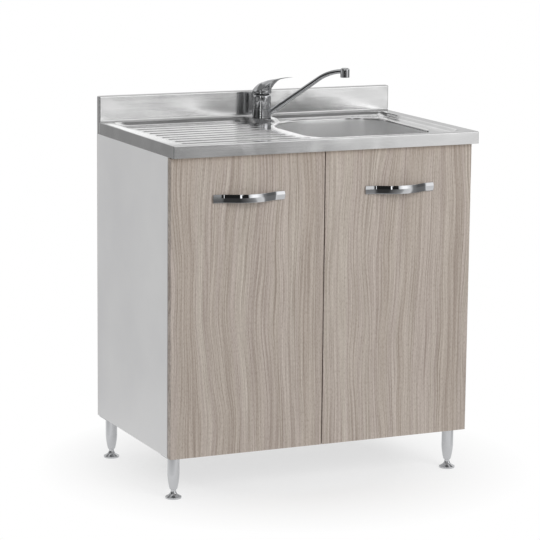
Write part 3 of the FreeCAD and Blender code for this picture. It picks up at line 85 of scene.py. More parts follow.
def camera_axes(yaw, pitch, roll):
    """Right, up and backward directions of a camera that looks along +Y, turned by yaw
    towards +X, tipped down by pitch and rolled about its own line of sight."""
    yaw, pitch, roll = (math.radians(a) for a in (yaw, pitch, roll))
    ahead = Vector((math.sin(yaw) * math.cos(pitch), math.cos(yaw) * math.cos(pitch),
                    -math.sin(pitch)))
    right = Vector((math.cos(yaw), -math.sin(yaw), 0))
    up = right.cross(ahead)
    rolled_right = right * math.cos(roll) + up * math.sin(roll)
    rolled_up = up * math.cos(roll) - right * math.sin(roll)
    return rolled_right, rolled_up, -ahead


camera_data = bpy.data.cameras.new("camera")
camera = bpy.data.objects.new("camera", camera_data)
bpy.context.scene.collection.objects.link(camera)
camera_data.sensor_width = SENSOR
camera_data.lens = LENS
camera_data.clip_end = 100.0
turned_axes = Matrix(camera_axes(TURNED, TIPPED, ROLLED)).transposed()
camera.matrix_world = Matrix.Translation(CAMERA_AT) @ turned_axes.to_4x4()
bpy.context.scene.camera = camera
print("lens", round(camera_data.lens, 1), "mm")

# %% [markdown]
# ## Putting numbers into a mesh
# Every new piece is an array of points and an array of four-sided faces. One helper
# makes the object, leaves it at the origin, tells the frame which body carries it and
# hides the plain piece it stands for. Grids of points all share one face pattern, so the
# pattern is worked out once, as whole arrays.

# %% Mesh helpers
SAME_POINT = 4e-6  # metres


def xyz(*parts):
    """Arrays of X, Y and Z, or of any parts, as one array of points."""
    return np.stack(np.broadcast_arrays(*parts), axis=-1)


def in_scene(name, data):
    made = bpy.data.objects.new(name, data)
    bpy.context.scene.collection.objects.link(made)
    return made


def grid_faces(rows, columns, wrap=False):
    """Faces of a grid of points stored row by row; wrap joins the last column to the first."""
    across = columns if wrap else columns - 1
    r, c = np.meshgrid(np.arange(rows - 1), np.arange(across), indexing="ij")
    near = r * columns + c
    side = r * columns + (c + 1) % columns
    return np.stack([near, side, side + columns, near + columns], axis=-1).reshape(-1, 4)


def without_slivers(work):
    """Faces that lost a side go."""
    bmesh.ops.dissolve_degenerate(work, edges=work.edges, dist=SAME_POINT / 4)


def flat_joined(work):
    """Neighbours in one plane become one face."""
    bmesh.ops.dissolve_limit(work, angle_limit=math.radians(0.6), verts=work.verts, edges=work.edges)


def merged(mesh, *steps):
    """Points that lie together become one, then the steps are taken and all is shaded
    smooth."""
    work = bmesh.new()
    work.from_mesh(mesh)
    bmesh.ops.remove_doubles(work, verts=work.verts, dist=SAME_POINT)
    for step in steps:
        step(work)
    work.to_mesh(mesh)
    work.free()
    mesh.polygons.foreach_set("use_smooth", np.ones(len(mesh.polygons), bool))


def new_piece(name, points, faces, body, finish, slot, stands_for):
    """An object at the origin from points in millimetres, riding on a body."""
    mesh = bpy.data.meshes.new(name)
    mesh.from_pydata(np.asarray(points, float).reshape(-1, 3) * MM, [],
                     faces if isinstance(faces, list) else faces.tolist())
    merged(mesh, without_slivers)
    return on_body(name, mesh, body, finish, stands_for)


def on_body(name, mesh, body, finish, stands_for):
    mesh.materials.clear()
    mesh.materials.append(finish)
    piece = in_scene(name, mesh)
    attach(piece, body)
    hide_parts(*stands_for)
    return piece


def several(parts):
    """Several (points, faces) pairs as one."""
    points, faces, start = [], [], 0
    for p, f in parts:
        p = np.asarray(p, float).reshape(-1, 3)
        points.append(p)
        faces.append(np.asarray(f) + start)
        start += len(p)
    return np.concatenate(points), np.concatenate(faces)


def crisp(piece, angle=35):
    """Marks edges sharper than angle, then lets large faces rule the shading."""
    piece.data.set_sharp_from_angle(angle=math.radians(angle))
    modifier = piece.modifiers.new("weighted", "WEIGHTED_NORMAL")
    modifier.keep_sharp = True
    return piece

# %% [markdown]
# ## Finishes
# A finish is a small network of nodes. The steel and chrome are metal all over, so
# what they look like is mostly what they mirror: only faint marks, a slight change of
# roughness and the finest waviness tell steel from chrome. Everything is patterned in
# object coordinates, in metres, so it stays on the piece when the piece moves.

# %% Finish helpers
def plug(tree, value, socket):
    """Gives a socket a constant or the output of another node."""
    if isinstance(value, bpy.types.NodeSocket):
        tree.links.new(value, socket)
    else:
        socket.default_value = value


def feed(tree, node, **inputs):
    """Fills a node's inputs by name, with an underscore for each space."""
    for name, value in inputs.items():
        plug(tree, value, node.inputs[name.replace("_", " ")])


def outputs(tree, kind, **inputs):
    """The outputs of a new node."""
    node = tree.nodes.new("ShaderNode" + kind)
    feed(tree, node, **inputs)
    return node.outputs


def worked(tree, kind, operation, *values):
    """The outputs of a Math or VectorMath node."""
    node = tree.nodes.new("ShaderNode" + kind)
    node.operation = operation
    for value, socket in zip(values, node.inputs):
        plug(tree, value, socket)
    return node.outputs


def finish(name, colour, roughness, metallic=0.0):
    """A Principled material and the pieces needed to pattern it."""
    material = bpy.data.materials.new(name)
    material.use_nodes = True
    tree = material.node_tree
    shader = tree.nodes["Principled BSDF"]
    feed(tree, shader, Base_Color=(*colour, 1), Roughness=roughness, Metallic=metallic)
    return material, tree, shader


def place(tree, scale, vector=None):
    """A vector, or else object coordinates, stretched by scale along X, Y and Z."""
    if vector is None:
        vector = outputs(tree, "TexCoord")["Object"]
    return outputs(tree, "Mapping", Vector=vector, Scale=scale)["Vector"]


def noise(tree, vector, detail=3.0, roughness=0.5, distortion=0.0):
    return outputs(tree, "TexNoise", Vector=vector, Scale=1.0, Detail=detail,
                   Roughness=roughness, Distortion=distortion)["Fac"]


def between(tree, value, low, high, start=0.0, end=1.0):
    """The value, from start..end, as a share from low to high."""
    return outputs(tree, "MapRange", Value=value, From_Min=start, From_Max=end,
                   To_Min=low, To_Max=high)["Result"]


def ramp(tree, value, stops):
    """Colours along a value: stops are (position, (r, g, b))."""
    node = tree.nodes.new("ShaderNodeValToRGB")
    elements = node.color_ramp.elements
    while len(elements) < len(stops):
        elements.new(0.5)
    for element, (position, colour) in zip(elements, stops):
        element.position = position
        element.color = (*colour, 1)
    tree.links.new(value, node.inputs["Fac"])
    return node.outputs["Color"]


def mixed(tree, share, first, second, kind="MIX"):
    node = tree.nodes.new("ShaderNodeMix")
    node.data_type = "RGBA"
    node.blend_type = kind
    for name, value in (("Factor", share), ("A", first), ("B", second)):
        plug(tree, (*value, 1) if isinstance(value, tuple) else value, node.inputs[name])
    return node.outputs["Result"]


def relief(tree, height, strength, distance):
    return outputs(tree, "Bump", Height=height, Strength=strength, Distance=distance)["Normal"]


def srgb(r, g=None, b=None):
    """A colour as a screen shows it, 0 to 255, as light; one level alone is a grey."""
    return tuple((c / 255 / 12.92) if c <= 10 else ((c / 255 + 0.055) / 1.055) ** 2.4
                 for c in ((r, r, r) if g is None else (r, g, b)))


def one_noise(name, colour, dullness, metallic, scale, rough=None, tint=None, bump=None, **grain):
    """A finish patterned by a single noise. It sets, each where it is given, the roughness
    (lowest, highest, from, to), the tint (stops of a ramp) and the relief (strength,
    distance)."""
    material, tree, shader = finish(name, colour, dullness, metallic)
    skin = noise(tree, place(tree, scale), **grain)
    if rough:
        feed(tree, shader, Roughness=between(tree, skin, *rough))
    if tint:
        feed(tree, shader, Base_Color=ramp(tree, skin, tint))
    if bump:
        feed(tree, shader, Normal=relief(tree, skin, *bump))
    return material

# %% [markdown]
# ### Metals
# The sink top is pressed from bright-rolled sheet: it mirrors, a little blurred, with
# rolling marks along its length. Chrome plate is darker in its reflections and clean,
# with only a trace of smears.

# %% Metals
def rolled_steel():
    material, tree, shader = finish("rolled_steel", srgb(222), 0.14, 1.0)
    marks = noise(tree, place(tree, (4, 900, 900)), detail=4, roughness=0.6)
    smears = noise(tree, place(tree, (6, 14, 14)), detail=4, distortion=0.6)
    waves = noise(tree, place(tree, (6, 4, 7)), detail=1.0, distortion=1.2)
    both = mixed(tree, 0.35, marks, smears)
    feed(tree, shader, Roughness=between(tree, both, 0.09, 0.2, 0.35, 0.65),
         Base_Color=ramp(tree, smears, [(0.3, srgb(214)), (0.7, srgb(228))]),
         Normal=relief(tree, mixed(tree, 0.03, waves, both), 0.12, 0.012))
    return material


steel = rolled_steel()
# The bowl's steel is rougher and a little less metallic, a satin finish that drawn sheet really has;
# its colour is painted lighter than the deck's, painted light that brightens the deep bowl.
bowl_steel_painted_light = one_noise("drawn_steel_painted_light", srgb(240), 0.34, 0.86, (90, 90, 60),
                  rough=(0.3, 0.4, 0.35, 0.65), detail=4, roughness=0.6)
bright_chrome = one_noise("chrome", srgb(196, 197, 199), 0.03, 1.0, (40, 40, 40),
                          rough=(0.015, 0.05, 0.35, 0.65), detail=4, distortion=0.5)
zinc = one_noise("plated_steel", srgb(186, 188, 192), 0.3, 1.0, (260, 260, 260),
                 rough=(0.2, 0.42, 0.3, 0.7), detail=2,
                 tint=[(0.3, srgb(176, 178, 182)), (0.7, srgb(200, 202, 205))])
brass = one_noise("turned_brass", srgb(200, 170, 98), 0.28, 1.0, (30, 30, 1400),
                  rough=(0.18, 0.36, 0.3, 0.7), detail=2)

# %% [markdown]
# ### Boards
# The doors are faced with a printed and pressed ash grain in taupe: broad upright
# bands that lean from beige to lavender grey, fine dark pores, and slanting lines
# where the saw left the heart of the board. All of it is noise drawn out along the
# height. A slow warp makes the lines lean, so they meet in the long pointed arches
# of real boards. The cabinet itself is plain white board with a faint orange peel.

# %% Boards
def ash_decor():
    material, tree, shader = finish("ash_decor", srgb(176, 166, 155), 0.42)
    slow = noise(tree, place(tree, (5, 5, 1.6)), detail=2.3, roughness=0.45)
    lean = outputs(tree, "CombineXYZ", X=between(tree, slow, -0.028, 0.028, 0.25, 0.75))["Vector"]
    warped = worked(tree, "VectorMath", "ADD", outputs(tree, "TexCoord")["Object"], lean)["Vector"]
    bands = noise(tree, place(tree, (22, 3, 0.4), warped), detail=2.5, roughness=0.6)
    lines = noise(tree, place(tree, (330, 20, 1.5), warped), detail=3, roughness=0.75)
    hairs = noise(tree, place(tree, (640, 40, 5.0), warped), detail=2, roughness=0.6)
    pores = noise(tree, place(tree, (1100, 100, 140)), detail=2, roughness=0.55)
    colour = ramp(tree, bands, [(0.36, srgb(186, 175, 165)), (0.46, srgb(192, 182, 172)),
                                (0.54, srgb(192, 181, 173)), (0.64, srgb(198, 189, 179))])
    paper = srgb(255)
    for share, stops in (
            (lines, [(0.33, srgb(212, 208, 205)), (0.46, srgb(238, 236, 235)), (0.56, paper)]),
            (hairs, [(0.36, srgb(224, 221, 219)), (0.58, paper)]),
            (pores, [(0.36, srgb(228, 226, 224)), (0.52, paper)])):
        colour = mixed(tree, 1.0, colour, ramp(tree, share, stops), "MULTIPLY")
    feed(tree, shader, Base_Color=colour, Roughness=between(tree, pores, 0.5, 0.4, 0.35, 0.6),
         Normal=relief(tree, hairs, 0.1, 0.0002))
    return material


def white_board():
    material, tree, shader = finish("white_board", srgb(236), 0.38)
    peel = noise(tree, place(tree, (700, 700, 700)), detail=2)
    cloud = noise(tree, place(tree, (5, 5, 5)), detail=3)
    feed(tree, shader, Roughness=between(tree, cloud, 0.33, 0.44, 0.3, 0.7),
         Base_Color=ramp(tree, cloud, [(0.3, srgb(233, 233, 234)), (0.7, srgb(240))]),
         Normal=relief(tree, peel, 0.06, 0.0003))
    return material


decor, white = ash_decor(), white_board()
backing = one_noise("hardboard", srgb(226, 225, 221), 0.6, 0.0, (260, 260, 260),
                    tint=[(0.35, srgb(214, 212, 206)), (0.6, srgb(230, 229, 226))],
                    bump=(0.15, 0.0005), detail=4, distortion=1.5)
raw = one_noise("raw_wood", srgb(212, 184, 142), 0.65, 0.0, (12, 160, 160),
                tint=[(0.35, srgb(192, 158, 112)), (0.6, srgb(220, 194, 152))],
                bump=(0.2, 0.0005), detail=4, distortion=0.4)

# %% [markdown]
# ### Plastics and rubber
# The waste and trap are moulded in white polypropylene, which scatters a little light
# and has a soft sheen. Gaskets are matt black rubber. A small grey button closes the
# hole of the lever's fixing screw.

# %% Plastics and rubber
def moulded(name, colour, dullness):
    darker = tuple(c * 0.93 for c in colour)
    return one_noise(name, colour, dullness, 0.0, (320, 320, 320), detail=3,
                     rough=(dullness - 0.07, dullness + 0.07, 0.3, 0.7), bump=(0.1, 0.0003),
                     tint=[(0.3, darker), (0.65, colour)])


white_plastic = moulded("white_plastic", srgb(232, 232, 228), 0.36)
grey_plastic = moulded("grey_plastic", srgb(128, 130, 134), 0.4)
rubber = moulded("rubber", srgb(38, 38, 39), 0.62)

# %% [markdown]
# ## Shapes that come back again and again
# Three kinds of surface make nearly all of this unit. A board or a folded edge is a
# box whose edges are rolled to a radius. A leg, a ring or a knob is a profile turned
# round an axis. A handle or a spout is a section carried along a path. Blender's own
# cube and cylinder could be bevelled to much the same forms, but with a formula every
# radius is a number in millimetres that can be changed on its own.

# %% A box with rolled edges
def rounded_box(low, high, radius, steps=4):
    """Each point of a box is pulled to the nearest point of a core box, smaller by the
    radius on every side, then pushed out from it by the radius. The grid lines lie where
    equal turns of the roll fall, at radius * tan(turn) past the core's edge."""
    low, high = np.array(low, float), np.array(high, float)
    middle, core = (low + high) / 2, (high - low) / 2 - radius
    rolls = radius * np.tan(np.linspace(0, math.pi / 4, steps + 1))
    lines = [np.concatenate([-(c + rolls)[::-1], c + rolls]) for c in core]
    parts = []
    for axis, (u, v) in enumerate(((1, 2), (2, 0), (0, 1))):
        across, along = np.meshgrid(lines[u], lines[v], indexing="ij")
        for side in (-1, 1):
            q = np.empty(across.shape + (3,))
            q[..., u], q[..., v], q[..., axis] = across, along, side * (core[axis] + radius)
            nearest = np.clip(q, -core, core)
            out = q - nearest
            points = middle + nearest + radius * out / np.linalg.norm(out, axis=-1, keepdims=True)
            faces = grid_faces(*across.shape)
            parts.append((points, faces[:, ::-1] if side > 0 else faces))
    return several(parts)


# %% Lines with rounded corners, and turning them
def eased_line(corners, radii, steps=6):
    """A chain of straight lines with an arc at each inner corner. The arc touches both
    lines at radius * tan(half the turn) from the corner."""
    corners = np.array(corners, float)
    line = [corners[0]]
    for before, here, after, radius in zip(corners, corners[1:], corners[2:], radii):
        a, b = (p / np.linalg.norm(p) for p in (before - here, after - here))
        half = math.acos(np.clip(a @ b, -1, 1)) / 2
        if radius == 0 or half > 1.57:
            line.append(here)
            continue
        centre = here + (a + b) / np.linalg.norm(a + b) * radius / math.sin(half)
        first = here + a * radius / math.tan(half) - centre
        side = here + b * radius / math.tan(half) - centre
        turn = math.pi - 2 * half
        share = np.linspace(0, 1, steps + 1)[:, None]
        arc = (np.sin((1 - share) * turn) * first + np.sin(share * turn) * side) / math.sin(turn)
        line.extend(centre + arc)
    line.append(corners[-1])
    return np.array(line)


def turned(line, x, y, around=72):
    """A line of (radius, height) points carried round the upright axis at x, y:
    x + radius cos a, y + radius sin a."""
    angle = np.linspace(0, 2 * math.pi, around, endpoint=False)
    radius, height = np.asarray(line, float).T[:, :, None]
    points = xyz(x + radius * np.cos(angle), y + radius * np.sin(angle), height)
    return points, grid_faces(len(line), around, wrap=True)


def smooth_line(x, xs, ys):
    """A curve through (xs, ys) without corners: between two points it is the cubic whose
    slopes at them are those of the chord from the point before to the point after."""
    xs, ys = np.array(xs, float), np.array(ys, float)
    slope = np.gradient(ys, xs)
    i = np.clip(np.searchsorted(xs, x, side="right") - 1, 0, len(xs) - 2)
    gap = xs[i + 1] - xs[i]
    t = np.clip((x - xs[i]) / gap, 0, 1)
    return ((2 * t ** 3 - 3 * t ** 2 + 1) * ys[i] + (t ** 3 - 2 * t ** 2 + t) * gap * slope[i]
            + (3 * t ** 2 - 2 * t ** 3) * ys[i + 1] + (t ** 3 - t ** 2) * gap * slope[i + 1])


def ramp_up(t, ease=0.3):
    """From 0 at t = 0 to 1 at t = 1: a straight slope whose two ends, each a share ease of
    the run, are bent smoothly into the level."""
    t = np.clip(t, 0, 1)
    foot = t ** 2 / (2 * ease * (1 - ease))
    middle = (t - ease / 2) / (1 - ease)
    head = 1 - (1 - t) ** 2 / (2 * ease * (1 - ease))
    return np.where(t < ease, foot, np.where(t > 1 - ease, head, middle))


def by_halving(inside, low, high, rounds):
    """The largest value from low to high, point by point, for which inside holds."""
    for _ in range(rounds):
        middle = (low + high) / 2
        held = inside(middle)
        low, high = np.where(held, middle, low), np.where(held, high, middle)
    return low

# %% [markdown]
# ## The pressed sink top
# The real top is one sheet of stainless steel, 0.8 mm thick, pressed in a tool: a
# sloping edge leads down from a level border to a sunken floor, ten ribs drain the
# left half, and a raised tongue carries the tap. A subdivision surface would round
# all of that too softly, so the height is written down as a function of the place,
# and a grid of points, close together only where the sheet bends, is lifted to it.

# %% Sizes of the sink top, in millimetres
DECK, FLOOR, SHEET = 850.0, 842.0, 0.8
LEFT, RIGHT, FRONT, REAR = -400.0, 400.0, -242.5, 257.5
APRON_LOW, APRON_ROLL = 820.0, 2.0
UPSTAND_FACE, UPSTAND_TOP = 239.5, 914.0
RECESS = (LEFT + 22, RIGHT - 30, FRONT + 20, UPSTAND_FACE - 4)
SLOPE, SLOPE_REAR, RECESS_CORNER = 12.0, 25.0, 38.0
BOWL = (-2.0, 328.0, -180.5, 189.5)
BOWL_X, BOWL_Y = (BOWL[0] + BOWL[1]) / 2, (BOWL[2] + BOWL[3]) / 2
BOWL_CORNER, BOWL_CORNER_TAP, BOWL_FLOOR, BOWL_ROUND, WASTE_HOLE = 85.0, 160.0, 692.0, 45.0, 42.0
RIM, RIM_LOW = 6.0, 836.0
TAP_X, TAP_Y = 16.0, 188.5
TONGUE_TOP, TONGUE_FOOT = 35.0, 46.0
RIB_LINES = FRONT + 47 + 40 * np.arange(10)
RIB_START, RIB_HEIGHT, RIB_HALF = -341.0, 2.4, 9.0


# %% How high the sheet lies
def recess_share(x, y):
    """How far down the sloping edge a point is: 0 at its outer line, 1 on the floor. The
    line through the point, a rectangle with round corners, is found by halving."""
    def inside(t):
        x0, x1 = RECESS[0] + SLOPE * t, RECESS[1] - SLOPE * t
        y0, y1 = RECESS[2] + SLOPE * t, RECESS[3] - SLOPE_REAR * t
        past_x = np.abs(x - (x0 + x1) / 2) - (x1 - x0) / 2 + RECESS_CORNER
        past_y = np.abs(y - (y0 + y1) / 2) - (y1 - y0) / 2 + RECESS_CORNER
        return np.hypot(np.maximum(past_x, 0), np.maximum(past_y, 0)) <= RECESS_CORNER

    return by_halving(inside, np.zeros_like(x), np.ones_like(x), 24)


def bowl_left_edge(y):
    """X of the bowl's left rim beside a rib."""
    into = np.where(y > BOWL[3] - BOWL_CORNER_TAP, y - BOWL[3] + BOWL_CORNER_TAP,
                    np.maximum(BOWL[2] + BOWL_CORNER - y, 0))
    corner = np.where(y > 0, BOWL_CORNER_TAP, BOWL_CORNER)
    return BOWL[0] + corner - np.sqrt(np.maximum(corner ** 2 - into ** 2, 0))


def rib_ends():
    ends = bowl_left_edge(RIB_LINES) - 32
    by_tap = RIB_LINES > TAP_Y - TONGUE_FOOT - RIB_HALF
    return np.where(by_tap, np.minimum(ends, TAP_X - TONGUE_FOOT - 16), ends) - RIB_HALF


def sheet_height(x, y):
    """The deck, less the recess where no tongue stands, plus the ribs: each rib is a
    raised cosine of the distance to its middle line."""
    tongue = np.hypot(x - TAP_X, np.maximum(TAP_Y - y, 0))
    sunk = ramp_up(recess_share(x, y)) * ramp_up((tongue - TONGUE_TOP) / (TONGUE_FOOT - TONGUE_TOP))
    z = DECK - (DECK - FLOOR) * sunk
    for line, end in zip(RIB_LINES, rib_ends()):
        away = np.hypot(np.maximum(np.maximum(RIB_START - x, x - end), 0), y - line)
        z = z + RIB_HEIGHT * (0.5 + 0.5 * np.cos(math.pi * np.minimum(away / RIB_HALF, 1)))
    return z


print("ribs end at", rib_ends().round(1).tolist())

# %% [markdown]
# ### The rim of the bowl
# The bowl is let into the floor and its edge is ground and polished until no seam
# shows. A square grid can't meet its rounded outline, so round the bowl the grid gives
# way to rings: each starts on a rectangle of grid points, moves in straight lines to
# the outline, and then rolls over the edge.

# %% The bowl's outline
def past_outline(x, y, out=0.0):
    """Distance to the bowl's outline moved outwards, negative inside: a rectangle whose
    rear left corner, round the tap, is wider than the other three."""
    corner = np.where((x < BOWL_X) & (y > BOWL_Y), BOWL_CORNER_TAP, BOWL_CORNER)
    px = np.abs(x - BOWL_X) - (BOWL[1] - BOWL[0]) / 2 + corner
    py = np.abs(y - BOWL_Y) - (BOWL[3] - BOWL[2]) / 2 + corner
    outside = np.hypot(np.maximum(px, 0), np.maximum(py, 0))
    return outside + np.minimum(np.maximum(px, py), 0) - corner - out


def on_outline(x, y, out=0.0):
    """The points of the outline on the lines from the bowl's middle to x, y, by halving."""
    x, y = x - BOWL_X, y - BOWL_Y
    share = by_halving(lambda t: past_outline(BOWL_X + x * t, BOWL_Y + y * t, out) < 0,
                       np.zeros_like(x), np.full_like(x, 2.0), 30)
    return BOWL_X + x * share, BOWL_Y + y * share


# %% Grid lines, close where the sheet bends
def lines_through(stops):
    """Stops are (place, step up to the next place): even steps between the places."""
    line = []
    for (start, step), (end, _) in zip(stops, stops[1:]):
        count = max(1, round((end - start) / step))
        line.append(np.linspace(start, end, count, endpoint=False))
    return np.append(np.concatenate(line), stops[-1][0])


ROLL_STEPS, FOLD = 7, 5.0
edge_x, edge_front, edge_rear = RIGHT - APRON_ROLL, FRONT + APRON_ROLL, UPSTAND_FACE - FOLD
frame_x, frame_y = (-42.0, 358.0), (-210.5, 210.5)
grid_x = lines_through([(-edge_x, 6.5), (-380, 1.0), (-364, 5), (-351, 2), (-330, 7), (-90, 3),
                        (frame_x[0], 5), (frame_x[1], 1.0), (372, 6.5), (edge_x, 1)])
rib_steps = np.array([-20, -14.5, -9, -7, -5.3, -3.5, -1.8, 0, 1.8, 3.5, 5.3, 7, 9, 14.5])
inner_y = (RIB_LINES[:, None] + rib_steps).ravel()
grid_y = np.concatenate([[edge_front, -230.5], np.arange(-224.5, -211, 1.0), [frame_y[0]],
                         inner_y[(inner_y > frame_y[0] + 0.8) & (inner_y < frame_y[1] - 0.8)],
                         lines_through([(frame_y[1], 1.2), (edge_rear, 1)])])
print("sink top grid", len(grid_x), "by", len(grid_y))


# %% The sink top as one sheet
def sink_top():
    """The grid without its bowl rectangle, rings round the bowl, the rolled apron on three
    sides and the fillet up to the upstand."""
    x, y = np.meshgrid(grid_x, grid_y, indexing="ij")
    level = xyz(x, y, sheet_height(x, y))
    faces = grid_faces(*x.shape)[:, ::-1]
    middle = level.reshape(-1, 3)[faces].mean(axis=1)
    hole = ((middle[:, 0] > frame_x[0]) & (middle[:, 0] < frame_x[1])
            & (middle[:, 1] > frame_y[0]) & (middle[:, 1] < frame_y[1]))
    parts = [(level, faces[~hole])]

    in_x = grid_x[(grid_x >= frame_x[0] - 0.01) & (grid_x <= frame_x[1] + 0.01)]
    in_y = grid_y[(grid_y >= frame_y[0] - 0.01) & (grid_y <= frame_y[1] + 0.01)]
    front, back = np.full_like(in_x, frame_y[0]), np.full_like(in_x, frame_y[1])
    left, right = np.full_like(in_y, frame_x[0]), np.full_like(in_y, frame_x[1])
    ring_x = np.concatenate([in_x[:-1], right[:-1], in_x[:0:-1], left[:0:-1]])
    ring_y = np.concatenate([front[:-1], in_y[:-1], back[:0:-1], in_y[:0:-1]])
    flat_x, flat_y = on_outline(ring_x, ring_y, RIM)
    share = np.linspace(0, 1, 13)[:, None]
    rx, ry = ring_x * (1 - share) + flat_x * share, ring_y * (1 - share) + flat_y * share
    rings = [xyz(rx, ry, sheet_height(rx, ry))]
    for turn in np.linspace(0, math.pi / 2, 9)[1:]:
        ox, oy = on_outline(ring_x, ring_y, RIM * (1 - math.sin(turn)))
        fallen = sheet_height(flat_x, flat_y) - RIM * (1 - math.cos(turn))
        rings.append(xyz(ox, oy, fallen)[None])
    rings = np.concatenate(rings)
    parts.append((rings, grid_faces(*rings.shape[:2], wrap=True)))

    side_y = np.append(grid_y, UPSTAND_FACE + 1)
    side_x = np.full(len(side_y), edge_x)
    path_x = np.concatenate([-side_x, grid_x[1:-1], side_x])
    path_y = np.concatenate([side_y[::-1], np.full(len(grid_x) - 2, edge_front), side_y])
    turn = np.linspace(0, math.pi / 2, ROLL_STEPS)
    corner = len(side_y) - 1
    out = np.concatenate([np.full(corner, math.pi), np.linspace(math.pi, 1.5 * math.pi, ROLL_STEPS),
                          np.full(len(grid_x) - 2, 1.5 * math.pi),
                          np.linspace(1.5 * math.pi, 2 * math.pi, ROLL_STEPS),
                          np.full(corner, 2 * math.pi)])
    repeat = np.ones(len(path_x), int)
    repeat[[corner, corner + len(grid_x) - 1]] = ROLL_STEPS
    px, py = np.repeat(path_x, repeat), np.repeat(path_y, repeat)
    height = sheet_height(px, py)
    reach = APRON_ROLL * np.sin(turn)[:, None]
    apron = xyz(px + reach * np.cos(out), py + reach * np.sin(out),
                height - APRON_ROLL * (1 - np.cos(turn))[:, None])
    low = apron[-1:].copy()
    low[..., 2] = APRON_LOW
    apron = np.concatenate([apron, low])
    parts.append((apron, grid_faces(*apron.shape[:2])[:, ::-1]))

    bend = np.linspace(0, math.pi / 2, ROLL_STEPS)[:, None]
    foot_z = sheet_height(grid_x, np.full_like(grid_x, edge_rear))
    fillet = xyz(grid_x, edge_rear + FOLD * np.sin(bend), foot_z + FOLD * (1 - np.cos(bend)))
    parts.append((fillet, grid_faces(*fillet.shape[:2])))
    for column, way in ((0, 1), (-1, -1)):
        end = fillet[:, column]
        foot = xyz(end[:, 0], end[:, 1], DECK)
        parts.append((np.stack([end, foot]), grid_faces(2, len(end))[:, ::way]))
    return several(parts)


# %% The bowl as one sheet
def bowl():
    """Rings of the outline: straight down, then a quarter turn of radius 45 on to the
    floor, and over the floor to the round waste hole."""
    angle = np.linspace(0, 2 * math.pi, 160, endpoint=False)
    away_x, away_y = BOWL_X + 600 * np.cos(angle), BOWL_Y + 600 * np.sin(angle)
    levels = [(0.0, z) for z in np.linspace(RIM_LOW, BOWL_FLOOR + BOWL_ROUND, 12)]
    for turn in np.linspace(0, math.pi / 2, 15)[1:]:
        levels.append((-BOWL_ROUND * (1 - math.cos(turn)),
                       BOWL_FLOOR + BOWL_ROUND * (1 - math.sin(turn))))
    rings = [xyz(*on_outline(away_x, away_y, out), z) for out, z in levels]
    hole = xyz(BOWL_X + WASTE_HOLE * np.cos(angle), BOWL_Y + WASTE_HOLE * np.sin(angle), BOWL_FLOOR)
    for share in np.linspace(0, 1, 9)[1:]:
        rings.append(rings[len(levels) - 1] * (1 - share) + hole * share)
    rings = np.array(rings)
    return rings, grid_faces(*rings.shape[:2], wrap=True)


def sheet_piece(name, surface, finish, node):
    """A surface with the sheet's thickness, on the side away from its faces."""
    piece = new_piece(name, *surface, "carcass", finish, "stainless", (node,))
    wall = piece.modifiers.new("wall", "SOLIDIFY")
    wall.thickness = SHEET * MM
    wall.offset = -1.0
    wall.use_even_offset = True
    return crisp(piece)


top_piece = sheet_piece("sink_top_sheet", sink_top(), steel, "sink_deck")
bowl_piece = sheet_piece("bowl_sheet", bowl(), bowl_steel_painted_light, "sink_bowl")
print("sink top", len(top_piece.data.polygons), "faces; bowl", len(bowl_piece.data.polygons))

# %% [markdown]
# ### The upstand
# The sheet is folded up at the back and over again, a hollow fold 18 mm deep that
# covers the joint with the wall. Its top edges are rolled to a small radius, which
# draws the bright line along the back of the sink.

# %% The upstand
def upstand():
    """A rolled box with its lowest faces left out, so it is open below."""
    points, faces = rounded_box((LEFT, UPSTAND_FACE, APRON_LOW - 4), (RIGHT, REAR, UPSTAND_TOP), 3.0)
    low = points[faces][:, :, 2].mean(axis=1) < APRON_LOW - 1.5
    points = points.copy()
    points[:, 2] = np.maximum(points[:, 2], APRON_LOW)
    return points, faces[~low]


upstand_piece = sheet_piece("upstand_fold", upstand(), steel, "sink_deck")
print("upstand", len(upstand_piece.data.polygons), "faces")

# %% [markdown]
# ## The tap
# The mixer is chromed brass. Its foot ring and body keep their plain turned shape and
# are softened with the other fittings further on. The spout and the lever are castings
# with flowing forms, so they are worked out here.

# %% [markdown]
# ### The spout
# The spout is one casting: a collar, an arm that rises in a straight line and levels
# off in a long arc, and a round head. The arm is an upright oval carried along its
# centre line; the oval is smallest at the head, where the water has least way to go.

# %% The spout
def beside_tap(angle, reach, side, height):
    """A place given along and across a direction from the tap's axis, in plan turned by
    angle from straight ahead, and above the deck."""
    turn = math.radians(angle)
    return xyz(TAP_X + reach * math.sin(turn) + side * math.cos(turn),
               TAP_Y - reach * math.cos(turn) + side * math.sin(turn), DECK + height)


def carried(line, ahead, half_high, half_wide, around=48):
    """An oval carried along a line of (reach, height): centre + half_wide cos a to the
    side + half_high sin a square to the line. Both ends close in a point."""
    angle = np.linspace(0, 2 * math.pi, around, endpoint=False)
    reach = line[:, :1] - ahead[:, 1:] * half_high[:, None] * np.sin(angle)
    height = line[:, 1:] + ahead[:, :1] * half_high[:, None] * np.sin(angle)
    side = half_wide[:, None] * np.cos(angle)
    points = beside_tap(SPOUT_ANGLE, reach, side, height)
    ends = [np.repeat(points[i].mean(axis=0)[None, None], around, axis=1) for i in (0, -1)]
    points = np.concatenate([ends[0], points, ends[1]])
    return points, grid_faces(points.shape[0], around, wrap=True)


SPOUT_ANGLE, SPOUT_REACH, SPOUT_HEIGHT, ARM_TILT = 48.0, 216.0, 126.0, math.radians(35.66)
ARM_START, ARM_ARC, ARM_HALF, TIP_HALF = 19.5, 118.6, 7.3, 5.4
COLLAR_BORE, COLLAR, COLLAR_LOW, COLLAR_TOP = 19.1, 24.0, 855.6, 873.4
HEAD, HEAD_BORE, HEAD_LOW, HEAD_STEP, HEAD_TOP = 11.5, 9.6, 960.5, 968.1, 984.0


